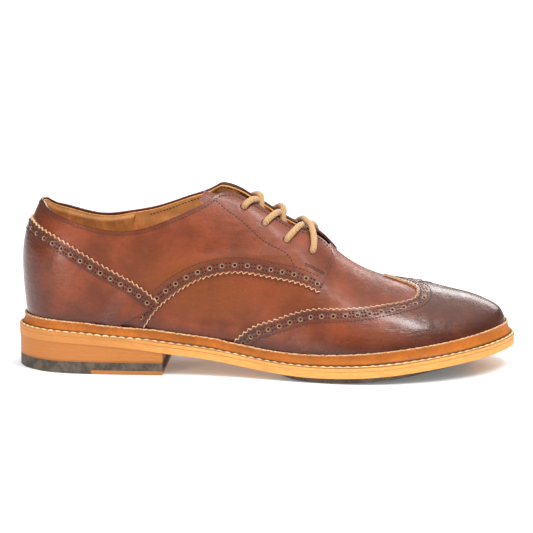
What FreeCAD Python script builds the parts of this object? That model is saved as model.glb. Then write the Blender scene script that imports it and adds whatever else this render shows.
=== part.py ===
import FreeCAD, Part
import math
import os

# Right-foot leather wingtip shoe, millimetres, +X to the toe, +Y to the inner side, +Z up.
# Stations run from the back of the heel (0) to the tip of the sole (304).

SOLE_LENGTH = 304.0
CENTRE_X = 152.0
CENTRE_Y = -1.30

OUTSOLE_THICK = 4.0
WELT_THICK = 2.5
HEEL_BREAST = 91.5
HEEL_FLARE = 0.4
RUBBER_TOP = 7.2
TIP_THICK = 2.3
TIP_BACK = 48.0
LIFT_THICK = 2.6
NAIL_RADIUS = 0.8
NAIL_LENGTH = 12.8

RAND_HEIGHT = 5.4
RAND_FOOT = 2.6
RAND_TOP = 0.9

LINING = (-1.2, -0.25)
SHELL = (0.0, 1.3)
OVERLAY = (1.55, 2.85)
LEATHER = 1.3
STEP_OVER = 1.55
STIFFENER = (-1.55, -0.62)
HEEL_LINING = (-2.6, -1.7)
PUFF = (0.0, 1.2)
TONGUE_TOP = -5.85
TONGUE_CROWN = 1.6
TONGUE_THICK = 1.5
TONGUE_LINING_THICK = 0.9
TONGUE_FRONT_TOP = -1.7

EYELET_RADIUS = 2.5
LACE_RADIUS = 1.95
AGLET_LENGTH = 14.0
AGLET_RADIUS = 2.35

# Outline of the outsole: station, centre line, half width.
SOLE = [(0, 0, 0), (9, 0, 20.2), (20, 0, 28.4), (40, -0.2, 33.1), (60, -0.8, 33.8), (85, -2.2, 33),
        (110, -3.8, 32), (135, -4.9, 34), (160, -5, 40), (185, -4.2, 47.2), (205, -3, 51.6),
        (222, -1.5, 53.2), (240, 0.3, 51.9), (258, 1.8, 47.4), (274, 3, 40.4), (288, 4, 30.6),
        (298, 4.6, 18.2), (304, 5, 0)]
# Underside of the leather outsole: station, height.
UNDERSIDE = [(0, 19.2), (22, 19.0), (53, 17.7), (77, 15.5), (92, 13.5), (114, 11), (135, 7.9),
             (155, 4.9), (170, 3.5), (187, 3.1), (205, 3.6), (221, 4.5), (235, 5.7), (248, 7.2),
             (265, 9.2), (282, 11.3), (295, 12.9), (304, 14)]
# Rubber under the ball: station, thickness.
RUBBER = [(164, 0.5), (168, 1.7), (175, 2.7), (187, 3.1), (207, 3.2), (221, 2.9), (235, 2.5), (248, 1.7),
          (265, 0.8), (279, 0.3)]
# Distance from the sole edge to the feather line: station, distance.
MARGIN = [(0, 7.4), (60, 7.2), (110, 6.9), (160, 7.8), (215, 8.8), (260, 8.3), (304, 7.8)]
# Feather line of the upper: station, centre line, half width.
FEATHER = [(7.4, 0, 0), (9, 0, 7.4), (14, 0, 14.9), (20, 0, 20), (30, 0, 24.2), (40, -0.2, 25.9),
           (60, -0.8, 26.8), (85, -2.2, 26), (110, -3.8, 25.1), (135, -4.9, 26.6), (160, -5, 31.9),
           (185, -4.3, 38.7), (205, -3.1, 42.9), (222, -1.5, 44.4), (240, 0.4, 43.3), (258, 2, 38.5),
           (274, 3.3, 31), (286, 4.2, 21.6), (292, 4.7, 13.9), (296.2, 5, 0)]
FEATHER_BACK = 7.4
FEATHER_FRONT = 296.2
# Height of the feather line: station, height.
GROOVE = [(0, 27.4), (22, 27.1), (53, 25.5), (77, 23.4), (100, 20.4), (114, 18.8), (135, 15.9),
          (155, 12.8), (175, 11.2), (194, 11.3), (221, 12.8), (248, 15.5), (265, 17.5), (278, 19.4),
          (291, 21.4), (304, 23.6)]
# Top line of the last body: station, height.
RIDGE = [(7.4, 118), (40, 119.8), (80, 116.8), (105, 112.5), (125, 107.8), (145, 101), (165, 90.8),
         (180, 81.8), (195, 68.8), (210, 59), (225, 53), (245, 48.6), (262, 44.6), (278, 40.8),
         (287, 37.3), (292.5, 34), (296.2, 23.2)]
# Back curve: height above the feather line, set-back from the feather line.
BACK = [(0, 0.5), (8, -0.2), (22, -1.4), (36, -1.9), (50, -0.8), (62, 2.6), (76, 9), (94, 18)]
# Fullness of the wall, height of the fullness and breadth of the top, by station.
BULGE = [(7.4, 0), (20, 5), (45, 6.5), (80, 7), (110, 8.5), (140, 7), (170, 4), (200, 3), (225, 2.5),
         (250, 2.5), (275, 2.5), (288, 2), (296.2, 0)]
RISE = [(7.4, 0.5), (45, 0.5), (100, 0.5), (150, 0.42), (190, 0.42), (225, 0.52), (260, 0.57),
        (296.2, 0.56)]
BREADTH = [(7.4, 0.75), (45, 0.72), (85, 0.62), (110, 0.58), (135, 0.62), (160, 0.68), (190, 0.64),
           (225, 0.6), (260, 0.58), (296.2, 0.56)]
RIDGE_LINE = [(7.4, 0), (60, 0), (110, 0), (150, 2), (190, 4), (225, 6), (260, 6), (296.2, 5)]

# Pattern lines. First value runs 0 (heel seam) to 1 (toe), second 0 (ridge) to 1 (feather line).
TOPLINE = [(0, 0.37), (0.06, 0.382), (0.1, 0.42), (0.15, 0.458), (0.2, 0.493), (0.25, 0.523),
           (0.29, 0.53), (0.325, 0.507), (0.35, 0.46), (0.375, 0.388), (0.396, 0.312), (0.412, 0.21),
           (0.425, 0.138), (0.442, 0.112)]
FACING = [(0.442, 0.112), (0.458, 0.133), (0.483, 0.155), (0.512, 0.172), (0.535, 0.165),
          (0.56, 0.13), (0.578, 0.105), (0.588, 0.13), (0.592, 0.2)]
# How much nearer the ridge the inner topline runs than the outer one, and how far its top stands off.
INNER_RISE = [(0.2, 0), (0.236, 0.006), (0.263, 0.019), (0.29, 0.042), (0.325, 0.06), (0.355, 0.07),
              (0.376, 0.078), (0.396, 0.08), (0.416, 0.075), (0.442, 0.055), (0.47, 0.03), (0.512, 0)]
INNER_FLARE = 2.2
VAMP_REAR = [(0, 0.585), (0.15, 0.583), (0.3, 0.577), (0.4, 0.554), (0.5, 0.51), (0.6, 0.45),
             (0.7, 0.396), (0.8, 0.354), (0.9, 0.325), (1, 0.3)]
QUARTER_FOOT = [(0, 1), (0.1, 1), (0.2, 1), (0.29, 1), (0.325, 0.992), (0.338, 0.953), (0.354, 0.887),
                (0.375, 0.82), (0.396, 0.76), (0.433, 0.673), (0.475, 0.607), (0.517, 0.567),
                (0.558, 0.542), (0.579, 0.545)]
COUNTER_TOP = [(0, 0.49), (0.05, 0.496), (0.1, 0.524), (0.154, 0.56), (0.208, 0.613), (0.25, 0.667),
               (0.3, 0.733), (0.34, 0.787), (0.362, 0.833)]
COUNTER_FOOT = [(0, 1), (0.09, 1), (0.18, 1), (0.25, 1), (0.278, 0.985), (0.32, 0.92), (0.359, 0.86)]
VAMP_FRONT = [(0, 0.235), (0.1, 0.205), (0.2, 0.19), (0.33, 0.17), (0.43, 0.12), (0.5, 0.06),
              (0.56, 0.0)]
CAP_EDGE = [(0, 0.335), (0.02, 0.309), (0.05, 0.281), (0.09, 0.264), (0.13, 0.249), (0.17, 0.243),
            (0.21, 0.247), (0.25, 0.247), (0.33, 0.237), (0.41, 0.2), (0.465, 0.155), (0.515, 0.09),
            (0.535, 0.045)]
EYELETS = [(0.458, 0.213), (0.492, 0.267), (0.526, 0.3), (0.562, 0.287)]


def spline(knots, ends=(None, None)):
    """Cubic spline through (x, y) knots with free ends, or with the end slopes given."""
    xs = [float(k[0]) for k in knots]
    ys = [float(k[1]) for k in knots]
    n = len(xs)
    h = [xs[i + 1] - xs[i] for i in range(n - 1)]
    low = [0.0] * n
    mid = [1.0] * n
    up = [0.0] * n
    rhs = [0.0] * n
    if ends[0] is not None:
        mid[0] = 2 * h[0]
        up[0] = h[0]
        rhs[0] = 6 * ((ys[1] - ys[0]) / h[0] - ends[0])
    if ends[1] is not None:
        mid[-1] = 2 * h[-1]
        low[-1] = h[-1]
        rhs[-1] = 6 * (ends[1] - (ys[-1] - ys[-2]) / h[-1])
    for i in range(1, n - 1):
        low[i] = h[i - 1]
        mid[i] = 2 * (h[i - 1] + h[i])
        up[i] = h[i]
        rhs[i] = 6 * ((ys[i + 1] - ys[i]) / h[i] - (ys[i] - ys[i - 1]) / h[i - 1])
    for i in range(1, n):
        w = low[i] / mid[i - 1]
        mid[i] -= w * up[i - 1]
        rhs[i] -= w * rhs[i - 1]
    m = [0.0] * n
    m[-1] = rhs[-1] / mid[-1]
    for i in range(n - 2, -1, -1):
        m[i] = (rhs[i] - up[i] * m[i + 1]) / mid[i]

    def value(x):
        x = min(max(x, xs[0]), xs[-1])
        i = 0
        while i < n - 2 and x > xs[i + 1]:
            i += 1
        t = x - xs[i]
        k = (ys[i + 1] - ys[i]) / h[i] - h[i] * (2 * m[i] + m[i + 1]) / 6
        return ys[i] + t * (k + t * (m[i] / 2 + t * (m[i + 1] - m[i]) / (6 * h[i])))

    return value


def last_u(s):
    """Position 0 to 1 along the upper for a station."""
    c = 1 - 2 * (s - FEATHER_BACK) / (FEATHER_FRONT - FEATHER_BACK)
    return math.acos(max(-1.0, min(1.0, c))) / math.pi


def sole_u(s):
    """Position 0 to 1 along the sole for a station."""
    return math.acos(max(-1.0, min(1.0, 1 - 2 * s / SOLE_LENGTH))) / math.pi


def by_station(knots, column, ends=(None, None)):
    return spline([(last_u(k[0]), k[column]) for k in knots], ends)


groove = spline(GROOVE)
underside = spline(UNDERSIDE)
feather_centre = by_station(FEATHER, 1, (0, 0))
feather_half = by_station(FEATHER, 2)
crest = spline([(last_u(k[0]), k[1] - groove(k[0])) for k in RIDGE])
back = spline(BACK)
bulge = by_station(BULGE, 1)
rise = by_station(RISE, 1)
breadth = by_station(BREADTH, 1)
ridge_line = by_station(RIDGE_LINE, 1)
sole_centre = spline([(sole_u(k[0]), k[1]) for k in SOLE], (0, 0))
sole_half = spline([(sole_u(k[0]), k[2]) for k in SOLE])
vamp_rear = spline(VAMP_REAR, (0, None))
margin = spline(MARGIN)
rubber = spline(RUBBER)
vamp_front = spline(VAMP_FRONT, (0, None))
facing_edge = spline(FACING[:6])
inner_rise = spline(INNER_RISE, (0, 0))
cap_edge = spline(CAP_EDGE)


def place(s, y, z):
    return FreeCAD.Vector(s - CENTRE_X, y - CENTRE_Y, z)


def body(u, v):
    """Point of the last body; v is -1 on the outer feather line, 0 on the ridge, +1 inside."""
    if u < 0:
        u = -u
        v = -v
    side = 1.0 if v >= 0 else -1.0
    t = 1.0 - abs(v)
    w = max(feather_half(u), 0.0)
    height = crest(u)
    flat = FEATHER_BACK + (FEATHER_FRONT - FEATHER_BACK) * (1 - math.cos(math.pi * u)) / 2
    yr = ridge_line(u) * min(1.0, w / 10.0)
    yf = feather_centre(u) + side * w
    y1 = yf + side * bulge(u)
    y2 = yr + side * abs(yf - yr) * breadth(u)
    a = (1 - t) ** 3
    b = 3 * t * (1 - t) ** 2
    c = 3 * t * t * (1 - t)
    d = t ** 3
    y = a * yf + b * y1 + c * y2 + d * yr
    z = b * rise(u) * height + (c + d) * height
    rear = FEATHER_BACK + back(z)
    s = rear + (FEATHER_FRONT - rear) * (1 - math.cos(math.pi * u)) / 2
    return place(s, y, z + groove(flat))


def toe_chart(x, y):
    """(u, v) of a point given by its distance from the feather line and along it, seen from the toe."""
    return (1 - math.hypot(x, y), math.atan2(y, x) * 2 / math.pi)


def offset(u, v, d):
    """Point at distance d outside the last body."""
    e = 0.002
    if u > 0.5:
        x = (1 - u) * math.cos(v * math.pi / 2)
        y = (1 - u) * math.sin(v * math.pi / 2)
        a = body(*toe_chart(max(x - e, 0), y))
        b = body(*toe_chart(x + e, y))
        p = body(*toe_chart(x, y - e))
        q = body(*toe_chart(x, y + e))
        n = (q - p).cross(b - a)
    else:
        lo = max(-1.0, v - e)
        hi = min(1.0, v + e)
        n = (body(u + e, v) - body(u - e, v)).cross(body(u, hi) - body(u, lo))
    n.normalize()
    return body(u, v) + n * d


def smooth(x):
    x = min(max(x, 0.0), 1.0)
    return x * x * (3 - 2 * x)


def bspline(rows):
    surface = Part.BSplineSurface()
    surface.interpolate(rows)
    return surface


def shell(inner, outer):
    """Solid between two grids of points of the same size."""
    a = bspline(inner)
    b = bspline(outer)
    u0, u1, v0, v1 = a.bounds()
    p0, p1, q0, q1 = b.bounds()
    faces = [a.toShape(), b.toShape()]
    pairs = [(a.uIso(u0), b.uIso(p0)), (a.uIso(u1), b.uIso(p1)),
             (a.vIso(v0), b.vIso(q0)), (a.vIso(v1), b.vIso(q1))]
    for one, two in pairs:
        faces.append(Part.makeRuledSurface(one.toShape(), two.toShape()))
    return closed(faces)


def closed(faces):
    skin = Part.makeShell(faces)
    skin.sewShape()
    if skin.ShapeType != "Shell":
        skin = skin.Shells[0]
    solid = Part.makeSolid(skin)
    if solid.Volume < 0:
        solid.reverse()
    return solid


def sheet(points, low, high, at=offset):
    """Leather between two offsets; points is a grid of (u, v) pairs, offsets are numbers or functions."""
    inner = []
    outer = []
    for row in points:
        a = low if callable(low) else (lambda u, v: low)
        b = high if callable(high) else (lambda u, v: high)
        inner.append([at(u, v, a(u, v)) for u, v in row])
        outer.append([at(u, v, b(u, v)) for u, v in row])
    return shell(inner, outer)


def lathe_ring(sections):
    """Solid strip whose corners follow the rows of section points."""
    n = len(sections[0])
    rails = []
    for k in range(n):
        rail = Part.BSplineCurve()
        rail.interpolate([row[k] for row in sections])
        rails.append(rail.toShape())
    faces = [Part.makeRuledSurface(rails[k], rails[(k + 1) % n]) for k in range(n)]
    for row in (sections[0], sections[-1]):
        for k in range(1, n - 1):
            faces.append(Part.Face(Part.makePolygon([row[0], row[k], row[k + 1], row[0]])))
    return closed(faces)


def toe_grid(near, far, reach, across, along):
    """Grid of (u, v) between two edges given as distance from the feather line against position."""
    rows = []
    for i in range(along + 1):
        y = reach * (2 * i / along - 1)
        lo = near(abs(y))
        hi = far(abs(y))
        rows.append([toe_chart(lo + (hi - lo) * j / across, y) for j in range(across + 1)])
    return rows


def curve_points(knots, count):
    """Evenly spread points of a smooth open curve through knots."""
    length = [0.0]
    for a, b in zip(knots, knots[1:]):
        length.append(length[-1] + math.hypot(b[0] - a[0], (b[1] - a[1]) * 0.5))
    fx = spline([(t, k[0]) for t, k in zip(length, knots)])
    fy = spline([(t, k[1]) for t, k in zip(length, knots)])
    return [(fx(length[-1] * i / count), fy(length[-1] * i / count)) for i in range(count + 1)]


def between(lower, upper, across):
    """Grid of (u, v) joining two curves with the same number of points."""
    rows = []
    for a, b in zip(lower, upper):
        rows.append([(a[0] + (b[0] - a[0]) * j / across, a[1] + (b[1] - a[1]) * j / across)
                     for j in range(across + 1)])
    return rows


def mirrored(rows, side):
    return [[(u, side * v) for u, v in row] for row in rows]


# ---------------------------------------------------------------- bottom unit

def outline(inset, steps=96):
    """Closed plan curve of the sole moved inwards by an inset (a number or a function of station)."""
    depth = inset if callable(inset) else (lambda s: inset)
    ring = []
    for i in range(2 * steps):
        w = i / steps
        u = w if w <= 1 else 2 - w
        side = -1.0 if w <= 1 else 1.0
        s = SOLE_LENGTH * (1 - math.cos(math.pi * u)) / 2
        ring.append((s, sole_centre(u) + side * max(sole_half(u), 0.0)))
    moved = []
    for i in range(len(ring)):
        ax, ay = ring[i - 1]
        bx, by = ring[(i + 1) % len(ring)]
        tx, ty = bx - ax, by - ay
        size = math.hypot(tx, ty)
        d = depth(ring[i][0])
        moved.append((ring[i][0] - ty / size * d, ring[i][1] + tx / size * d))
    return moved


def plan_prism(ring, low=-5.0, high=140.0):
    curve = Part.BSplineCurve()
    curve.interpolate([place(s, y, low) for s, y in ring], PeriodicFlag=True)
    face = Part.Face(Part.Wire(curve.toShape()))
    return face.extrude(FreeCAD.Vector(0, 0, high - low))


def side_line(stations, height):
    """Edge seen from the side at a height function of the station, straight where the height is constant."""
    points = [FreeCAD.Vector(s - CENTRE_X, -80, height(s)) for s in stations]
    if max(p.z for p in points) - min(p.z for p in points) < 1e-9:
        return Part.makeLine(points[0], points[-1])
    curve = Part.BSplineCurve()
    curve.interpolate(points)
    return curve.toShape()


def slab(bottom, top, start=-2.0, end=306.0, count=44):
    """Sheet right across the shoe between two height functions of the station."""
    stations = [start + (end - start) * i / count for i in range(count + 1)]
    a = side_line(stations, bottom)
    b = side_line(stations, top)
    first = Part.makeLine(a.valueAt(a.FirstParameter), b.valueAt(b.FirstParameter))
    last = Part.makeLine(a.valueAt(a.LastParameter), b.valueAt(b.LastParameter))
    face = Part.Face(Part.Wire(Part.__sortEdges__([a, last, b, first])))
    return face.extrude(FreeCAD.Vector(0, 160, 0))


def level(z):
    return lambda s: z


def above(f, d):
    return lambda s: f(s) + d


def save(shape, name):
    if shape.ShapeType == "Compound" and len(shape.Solids) == 1:
        shape = shape.Solids[0]
    shape.exportStep("parts/" + name + ".step")
    box = shape.BoundBox
    print(name, len(shape.Solids), shape.isValid(), round(shape.Volume),
          [round(c, 1) for c in (box.XMin, box.XMax, box.YMin, box.YMax, box.ZMin, box.ZMax)])
    return shape


def outsole(nails):
    sole = plan_prism(outline(0.0)).common(slab(underside, above(underside, OUTSOLE_THICK)))
    return sole.cut(nails)


def forepart_rubber():
    low = lambda s: underside(s) - rubber(s)
    piece = slab(low, above(underside, -0.02), 164, 279, 30)
    return plan_prism(outline(2.0)).common(piece)


def heel_block(low, high, inset=HEEL_FLARE, start=-2.0, end=HEEL_BREAST):
    return plan_prism(outline(inset)).common(slab(low, high, start, end, 20))


def heel_nails(radius):
    pins = []
    for s, y in [(18, 0), (34, -17), (34, 17), (66, -20), (66, 17)]:
        foot = place(s, y, RUBBER_TOP + 0.3)
        pins.append(Part.makeCylinder(radius, NAIL_LENGTH, foot))
    return Part.makeCompound(pins)


def sole_point(u, side):
    s = SOLE_LENGTH * (1 - math.cos(math.pi * u)) / 2
    return place(s, sole_centre(u) + side * max(sole_half(u), 0.0), 0)


def wall_point(u, side, height, d):
    """Point of the upper at a height over the feather line."""
    low, high = 0.0, 0.35
    for _ in range(24):
        t = (low + high) / 2
        if u > 0.5:
            place_uv = toe_chart(t, side * (1 - u))
        else:
            place_uv = (u, side * (1 - t))
        rise_now = body(*place_uv).z - body(u, side).z
        if rise_now < height:
            low = t
        else:
            high = t
    return offset(place_uv[0], place_uv[1], d)


def stand_off(u):
    """Clearance line of the rand: full over the counter, quarter and cap, close over the bare vamp."""
    gap = smooth((u - 0.335) / 0.015) * (1 - smooth((u - 0.44) / 0.015))
    extra = smooth((u - 0.235) / 0.03) * (1 - smooth((u - 0.305) / 0.03))
    return OVERLAY[1] + 0.5 + (extra - gap) * STEP_OVER


def rim(steps=110):
    """Positions round the upper from the heel seam, outer side, toe, inner side, to the heel seam."""
    stops = []
    for i in range(2 * steps + 1):
        w = 0.0015 + (2 - 0.003) * i / (2 * steps)
        stops.append((w, -1.0) if w <= 1 else (2 - w, 1.0))
    return stops


def outward(u, side):
    a = offset(u, side, 0.0)
    b = offset(u, side, 3.0)
    n = FreeCAD.Vector(b.x - a.x, b.y - a.y, 0)
    n.normalize()
    return n


def storm_rand():
    rows = []
    for u, side in rim():
        d = stand_off(u)
        n = outward(u, side)
        foot = body(u, side)
        inner = FreeCAD.Vector(foot.x, foot.y, foot.z - 0.35) + n * (d + 0.05)
        outer = inner + n * RAND_FOOT - FreeCAD.Vector(0, 0, 0.4)
        top_in = wall_point(u, side, RAND_HEIGHT, d)
        top_out = wall_point(u, side, RAND_HEIGHT, d + RAND_TOP)
        rows.append([inner, outer, top_out, top_in])
    return lathe_ring(rows)


def welt():
    rows = []
    for u, side in rim():
        n = outward(u, side)
        foot = body(u, side)
        d = stand_off(u)
        flat = FreeCAD.Vector(foot.x, foot.y, 0)
        edge = sole_point(u, side)
        s = edge.x + CENTRE_X
        s_in = foot.x + CENTRE_X
        crest_point = flat + n * (d + RAND_FOOT + 0.1)
        heel_in = flat - n * 4.0
        rows.append([edge + FreeCAD.Vector(0, 0, underside(s) + OUTSOLE_THICK + 0.05),
                     edge + FreeCAD.Vector(0, 0, underside(s) + OUTSOLE_THICK + WELT_THICK),
                     crest_point + FreeCAD.Vector(0, 0, foot.z - 0.95),
                     heel_in + FreeCAD.Vector(0, 0, foot.z - 0.6),
                     heel_in + FreeCAD.Vector(0, 0, underside(s_in) + OUTSOLE_THICK + 0.05)])
    return lathe_ring(rows)


def inner_plan(extra, heel_extra):
    """Inset of parts lying inside the upper, wider where the heel lining stands."""
    return outline(lambda s: margin(s) + extra + (heel_extra - extra) * (1 - smooth((s - 62) / 14)))


def insole():
    piece = slab(above(groove, -0.3), above(groove, 2.2))
    return plan_prism(inner_plan(1.7, 3.1)).common(piece)


def sock_liner():
    piece = slab(above(groove, 2.3), above(groove, 3.3))
    return plan_prism(inner_plan(2.0, 3.4)).common(piece)


def shank():
    piece = slab(above(underside, OUTSOLE_THICK + 1.4), above(underside, OUTSOLE_THICK + 2.6), 62, 160, 20)
    bar = Part.makeBox(98, 13, 60, place(62, -10.5, 0))
    return bar.common(piece)


def cork_filler():
    piece = slab(above(underside, OUTSOLE_THICK + 0.1), above(groove, -0.4))
    pad = plan_prism(inner_plan(4.6, 4.6)).common(piece)
    slot = Part.makeBox(98.6, 13.6, 60, place(61.7, -10.8, 0))
    room = slab(above(underside, OUTSOLE_THICK + 1.3), above(groove, 1.0), 61.7, 160.3, 20)
    return pad.cut(slot.common(room))


def rear_reach(y):
    """Distance from the feather line of the vamp's rear edge, at a position along the toe chart."""
    low, high = 0.0, 1.0
    for _ in range(40):
        v = (low + high) / 2
        if (1 - vamp_rear(v)) * math.sin(math.pi * v / 2) < y:
            low = v
        else:
            high = v
    return (1 - vamp_rear(low)) * math.cos(math.pi * low / 2)


def quarter_step(u, v):
    """How far the quarter is lifted where it lies over the vamp."""
    return STEP_OVER * smooth((u - vamp_rear(abs(v)) + 0.058) / 0.036)


def top_edge(side):
    """Knots of the topline and the facing; on the inner side they stand higher before the laces."""
    if side < 0:
        return TOPLINE[:-1] + FACING
    return [(u, v - inner_rise(u)) for u, v in TOPLINE[:-1] + FACING]


def flare(u, v, side):
    """How far the top of the inner quarter stands off the last body beside the tongue."""
    if side < 0:
        return 0.0
    return INNER_FLARE * math.exp(-((u - 0.425) / 0.03) ** 2) * smooth((0.3 - abs(v)) / 0.15)


def vamp():
    rows = toe_grid(lambda y: vamp_front(min(y, 0.56)), rear_reach, 0.68, 14, 84)
    return sheet(rows, SHELL[0], SHELL[1])


def vamp_lining():
    rows = toe_grid(lambda y: 0.0, lambda y: rear_reach(y) - 0.003, 0.675, 16, 84)
    return sheet(rows, LINING[0], LINING[1])


def toe_puff():
    rows = toe_grid(lambda y: 0.0, lambda y: vamp_front(y) - 0.008, 0.42, 10, 60)
    return sheet(rows, PUFF[0], PUFF[1])


def wing_cap():
    rows = toe_grid(lambda y: 0.0, cap_edge, 0.535, 12, 96)
    return sheet(rows, OVERLAY[0], OVERLAY[1])


def clamp_foot(points):
    return [(u, min(v, 1.0)) for u, v in points]


def quarter(side, holes):
    count = 84
    foot = clamp_foot(curve_points(QUARTER_FOOT, count))
    top = curve_points(top_edge(side), count)
    rows = between(foot, top, 22)
    rows = [[(max(u, 0.0012), v) for u, v in row] for row in rows]
    low = lambda u, v: quarter_step(u, v) + flare(u, v, side)
    high = lambda u, v: low(u, v) + LEATHER
    return sheet(mirrored(rows, side), low, high).cut(holes)


def quarter_lining(side, holes):
    count = 72
    front = [(vamp_rear(v) - 0.003, v) for v in (0.9, 0.8, 0.7, 0.6, 0.5, 0.4, 0.3, 0.19)]
    foot = [(0.285, 1.0), (0.294, 0.995)] + front
    knots = top_edge(side)
    edge = [(u, v + 0.012) for u, v in knots[6:13]] + [(u + 0.003, v + 0.012) for u, v in knots[13:-2]]
    rows = between(clamp_foot(curve_points(foot, count)), curve_points(edge, count), 14)
    low = lambda u, v: LINING[0] + flare(u, v, side)
    high = lambda u, v: LINING[1] + flare(u, v, side)
    return sheet(mirrored(rows, side), low, high).cut(holes)


def wrap(low_edge, high_edge, along, across):
    """Grid across the heel seam, from the inner side round the back to the outer side."""
    rows = []
    for i in range(2 * along + 1):
        w = i / along - 1
        lo = low_edge(w)
        hi = high_edge(w)
        sign = 1.0 if w >= 0 else -1.0
        rows.append([(sign * (lo[0] + (hi[0] - lo[0]) * j / across),
                      -(lo[1] + (hi[1] - lo[1]) * j / across)) for j in range(across + 1)])
    return rows


def along_curve(knots):
    pts = curve_points(knots, 200)
    fu = spline([(i / 20, pts[10 * i][0]) for i in range(21)])
    fv = spline([(i / 20, pts[10 * i][1]) for i in range(21)], (0, None))
    return lambda w: (fu(abs(w)), min(fv(abs(w)), 1.0))


def heel_counter():
    rows = wrap(along_curve(COUNTER_FOOT), along_curve(COUNTER_TOP), 40, 12)
    low = lambda u, v: quarter_step(abs(u), v) + LEATHER + 0.25
    high = lambda u, v: quarter_step(abs(u), v) + 2 * LEATHER + 0.25
    return sheet(rows, low, high)


def heel_stiffener():
    top = spline(TOPLINE[:8], (0, None))
    rows = wrap(lambda w: (0.27 * abs(w), 1.0), lambda w: (0.24 * abs(w), top(0.24 * abs(w)) + 0.07), 30, 12)
    return sheet(rows, STIFFENER[0], STIFFENER[1])


def heel_lining():
    top = spline(TOPLINE[:8], (0, None))

    def rim_of_lining(w):
        u = 0.3 * abs(w)
        return u, top(u) + 0.012 - (inner_rise(u) if w < 0 else 0.0)

    rows = wrap(lambda w: (0.3 * abs(w), 1.0), rim_of_lining, 32, 12)
    return sheet(rows, HEEL_LINING[0], HEEL_LINING[1])


def tongue_base(u, v):
    """The last body evened out across the ridge, so that a deep sheet keeps a round crown."""
    total = FreeCAD.Vector(0, 0, 0)
    for k in range(-2, 3):
        total += body(u, v + 0.06 * k)
    return total * 0.2


def tongue_at(u, v, d):
    e = 0.004
    along = tongue_base(u + e, v) - tongue_base(u - e, v)
    n = along.cross(tongue_base(u, v + e) - tongue_base(u, v - e))
    n.normalize()
    return tongue_base(u, v) + n * d


def tongue_level(u, v):
    crown = TONGUE_CROWN * math.exp(-(v / 0.15) ** 2) * (1 - 0.75 * smooth((u - 0.4) / 0.05))
    front = (TONGUE_FRONT_TOP - TONGUE_TOP) * smooth((u - 0.572) / 0.03)
    return TONGUE_TOP + front + crown * (1 - smooth((u - 0.5) / 0.08))


def tongue_grid(back_end, front_end, trim):
    half = spline([(0.39, 0.27), (0.45, 0.33), (0.52, 0.36), (0.56, 0.35), (0.615, 0.24)])
    rows = []
    for i in range(45):
        u = back_end + (front_end - back_end) * i / 44
        round_off = 1 - 0.25 * smooth((0.405 - u) / 0.014)
        h = half(u) * round_off - trim
        rows.append([(u, h * (j / 10 - 1)) for j in range(21)])
    return rows


def tongue():
    rows = tongue_grid(0.393, 0.611, 0.0)
    return sheet(rows, lambda u, v: tongue_level(u, v) - TONGUE_THICK, tongue_level, tongue_at)


def tongue_lining():
    rows = tongue_grid(0.396, 0.604, 0.012)
    high = lambda u, v: tongue_level(u, v) - TONGUE_THICK - 0.25
    low = lambda u, v: high(u, v) - TONGUE_LINING_THICK
    return sheet(rows, low, high, tongue_at)


def eyelet_cutters(side):
    tools = []
    for u, v in EYELETS:
        a = offset(u, side * v, -3.0)
        b = offset(u, side * v, 5.0)
        tools.append(Part.makeCylinder(EYELET_RADIUS, 8.0, a, b - a))
    return Part.makeCompound(tools)


# ---------------------------------------------------------------- lace

def under(k, side):
    u, v = EYELETS[k]
    return offset(u, side * v, LINING[0] - 0.4 - LACE_RADIUS)


def over(k, side):
    u, v = EYELETS[k]
    return offset(u, side * v, quarter_step(u, v) + LEATHER + 0.7 + LACE_RADIUS)


def crossing(k, side, upper):
    """Lace from the top of hole k over the edge, across the gap and under the other edge."""
    ua, va = EYELETS[k]
    ub, vb = EYELETS[k + 1]
    mid = (ua + ub) / 2
    a = ua + (ub - ua) * 0.3
    b = ua + (ub - ua) * 0.7
    lip = facing_edge(a) - 0.012
    top = LEATHER + 0.8 + LACE_RADIUS
    low = LINING[0] - 0.5 - LACE_RADIUS
    points = [over(k, side), offset(a, side * lip, top + quarter_step(a, lip))]
    if upper:
        points += [offset(mid - 0.002, side * 0.015, 2.1), offset(mid + 0.002, -side * 0.03, 1.4)]
        points += [offset(b, -side * 0.125, low)]
    else:
        points += [offset(mid, side * 0.0, -2.4), offset(b, -side * 0.17, low)]
    return points + [under(k + 1, -side)]


def last_crossing(side, upper):
    """Lace from the top of the third hole over both edges to the top of the fourth."""
    ua = EYELETS[2][0]
    ub = EYELETS[3][0]
    top = LEATHER + 0.8 + LACE_RADIUS
    points = [over(2, side)]
    a = ua + (ub - ua) * 0.3
    b = ua + (ub - ua) * 0.75
    near = facing_edge(a) - 0.012
    far = facing_edge(b) - 0.012
    points.append(offset(a, side * near, top + quarter_step(a, near)))
    points.append(offset((ua + ub) / 2, 0.0, 2.2 if upper else -2.3))
    points.append(offset(b, -side * far, top + quarter_step(b, far)))
    points.append(over(3, -side))
    return points


def tail(side):
    """Loose end tucked down the inner wall, listed from its tip to the first hole."""
    level_in = LINING[0] - 0.6 - LACE_RADIUS
    spots = [(0.63, 0.83), (0.59, 0.85), (0.55, 0.85), (0.51, 0.82), (0.483, 0.72), (0.47, 0.58),
             (0.462, 0.42), (0.459, 0.3)]
    return [offset(u, side * v, level_in) for u, v in spots]


def lace_route():
    outer = tail(-1) + [under(0, -1)] + crossing(0, -1, False) + crossing(1, 1, True)
    outer += last_crossing(-1, False)
    inner = tail(1) + [under(0, 1)] + crossing(0, 1, True) + crossing(1, -1, False)
    inner += last_crossing(1, True)
    u = EYELETS[3][0]
    bar = [under(3, 1), offset(u, 0.14, -3.5), offset(u, 0.0, -2.7), offset(u, -0.14, -3.5), under(3, -1)]
    return outer + bar + inner[::-1]


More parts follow.
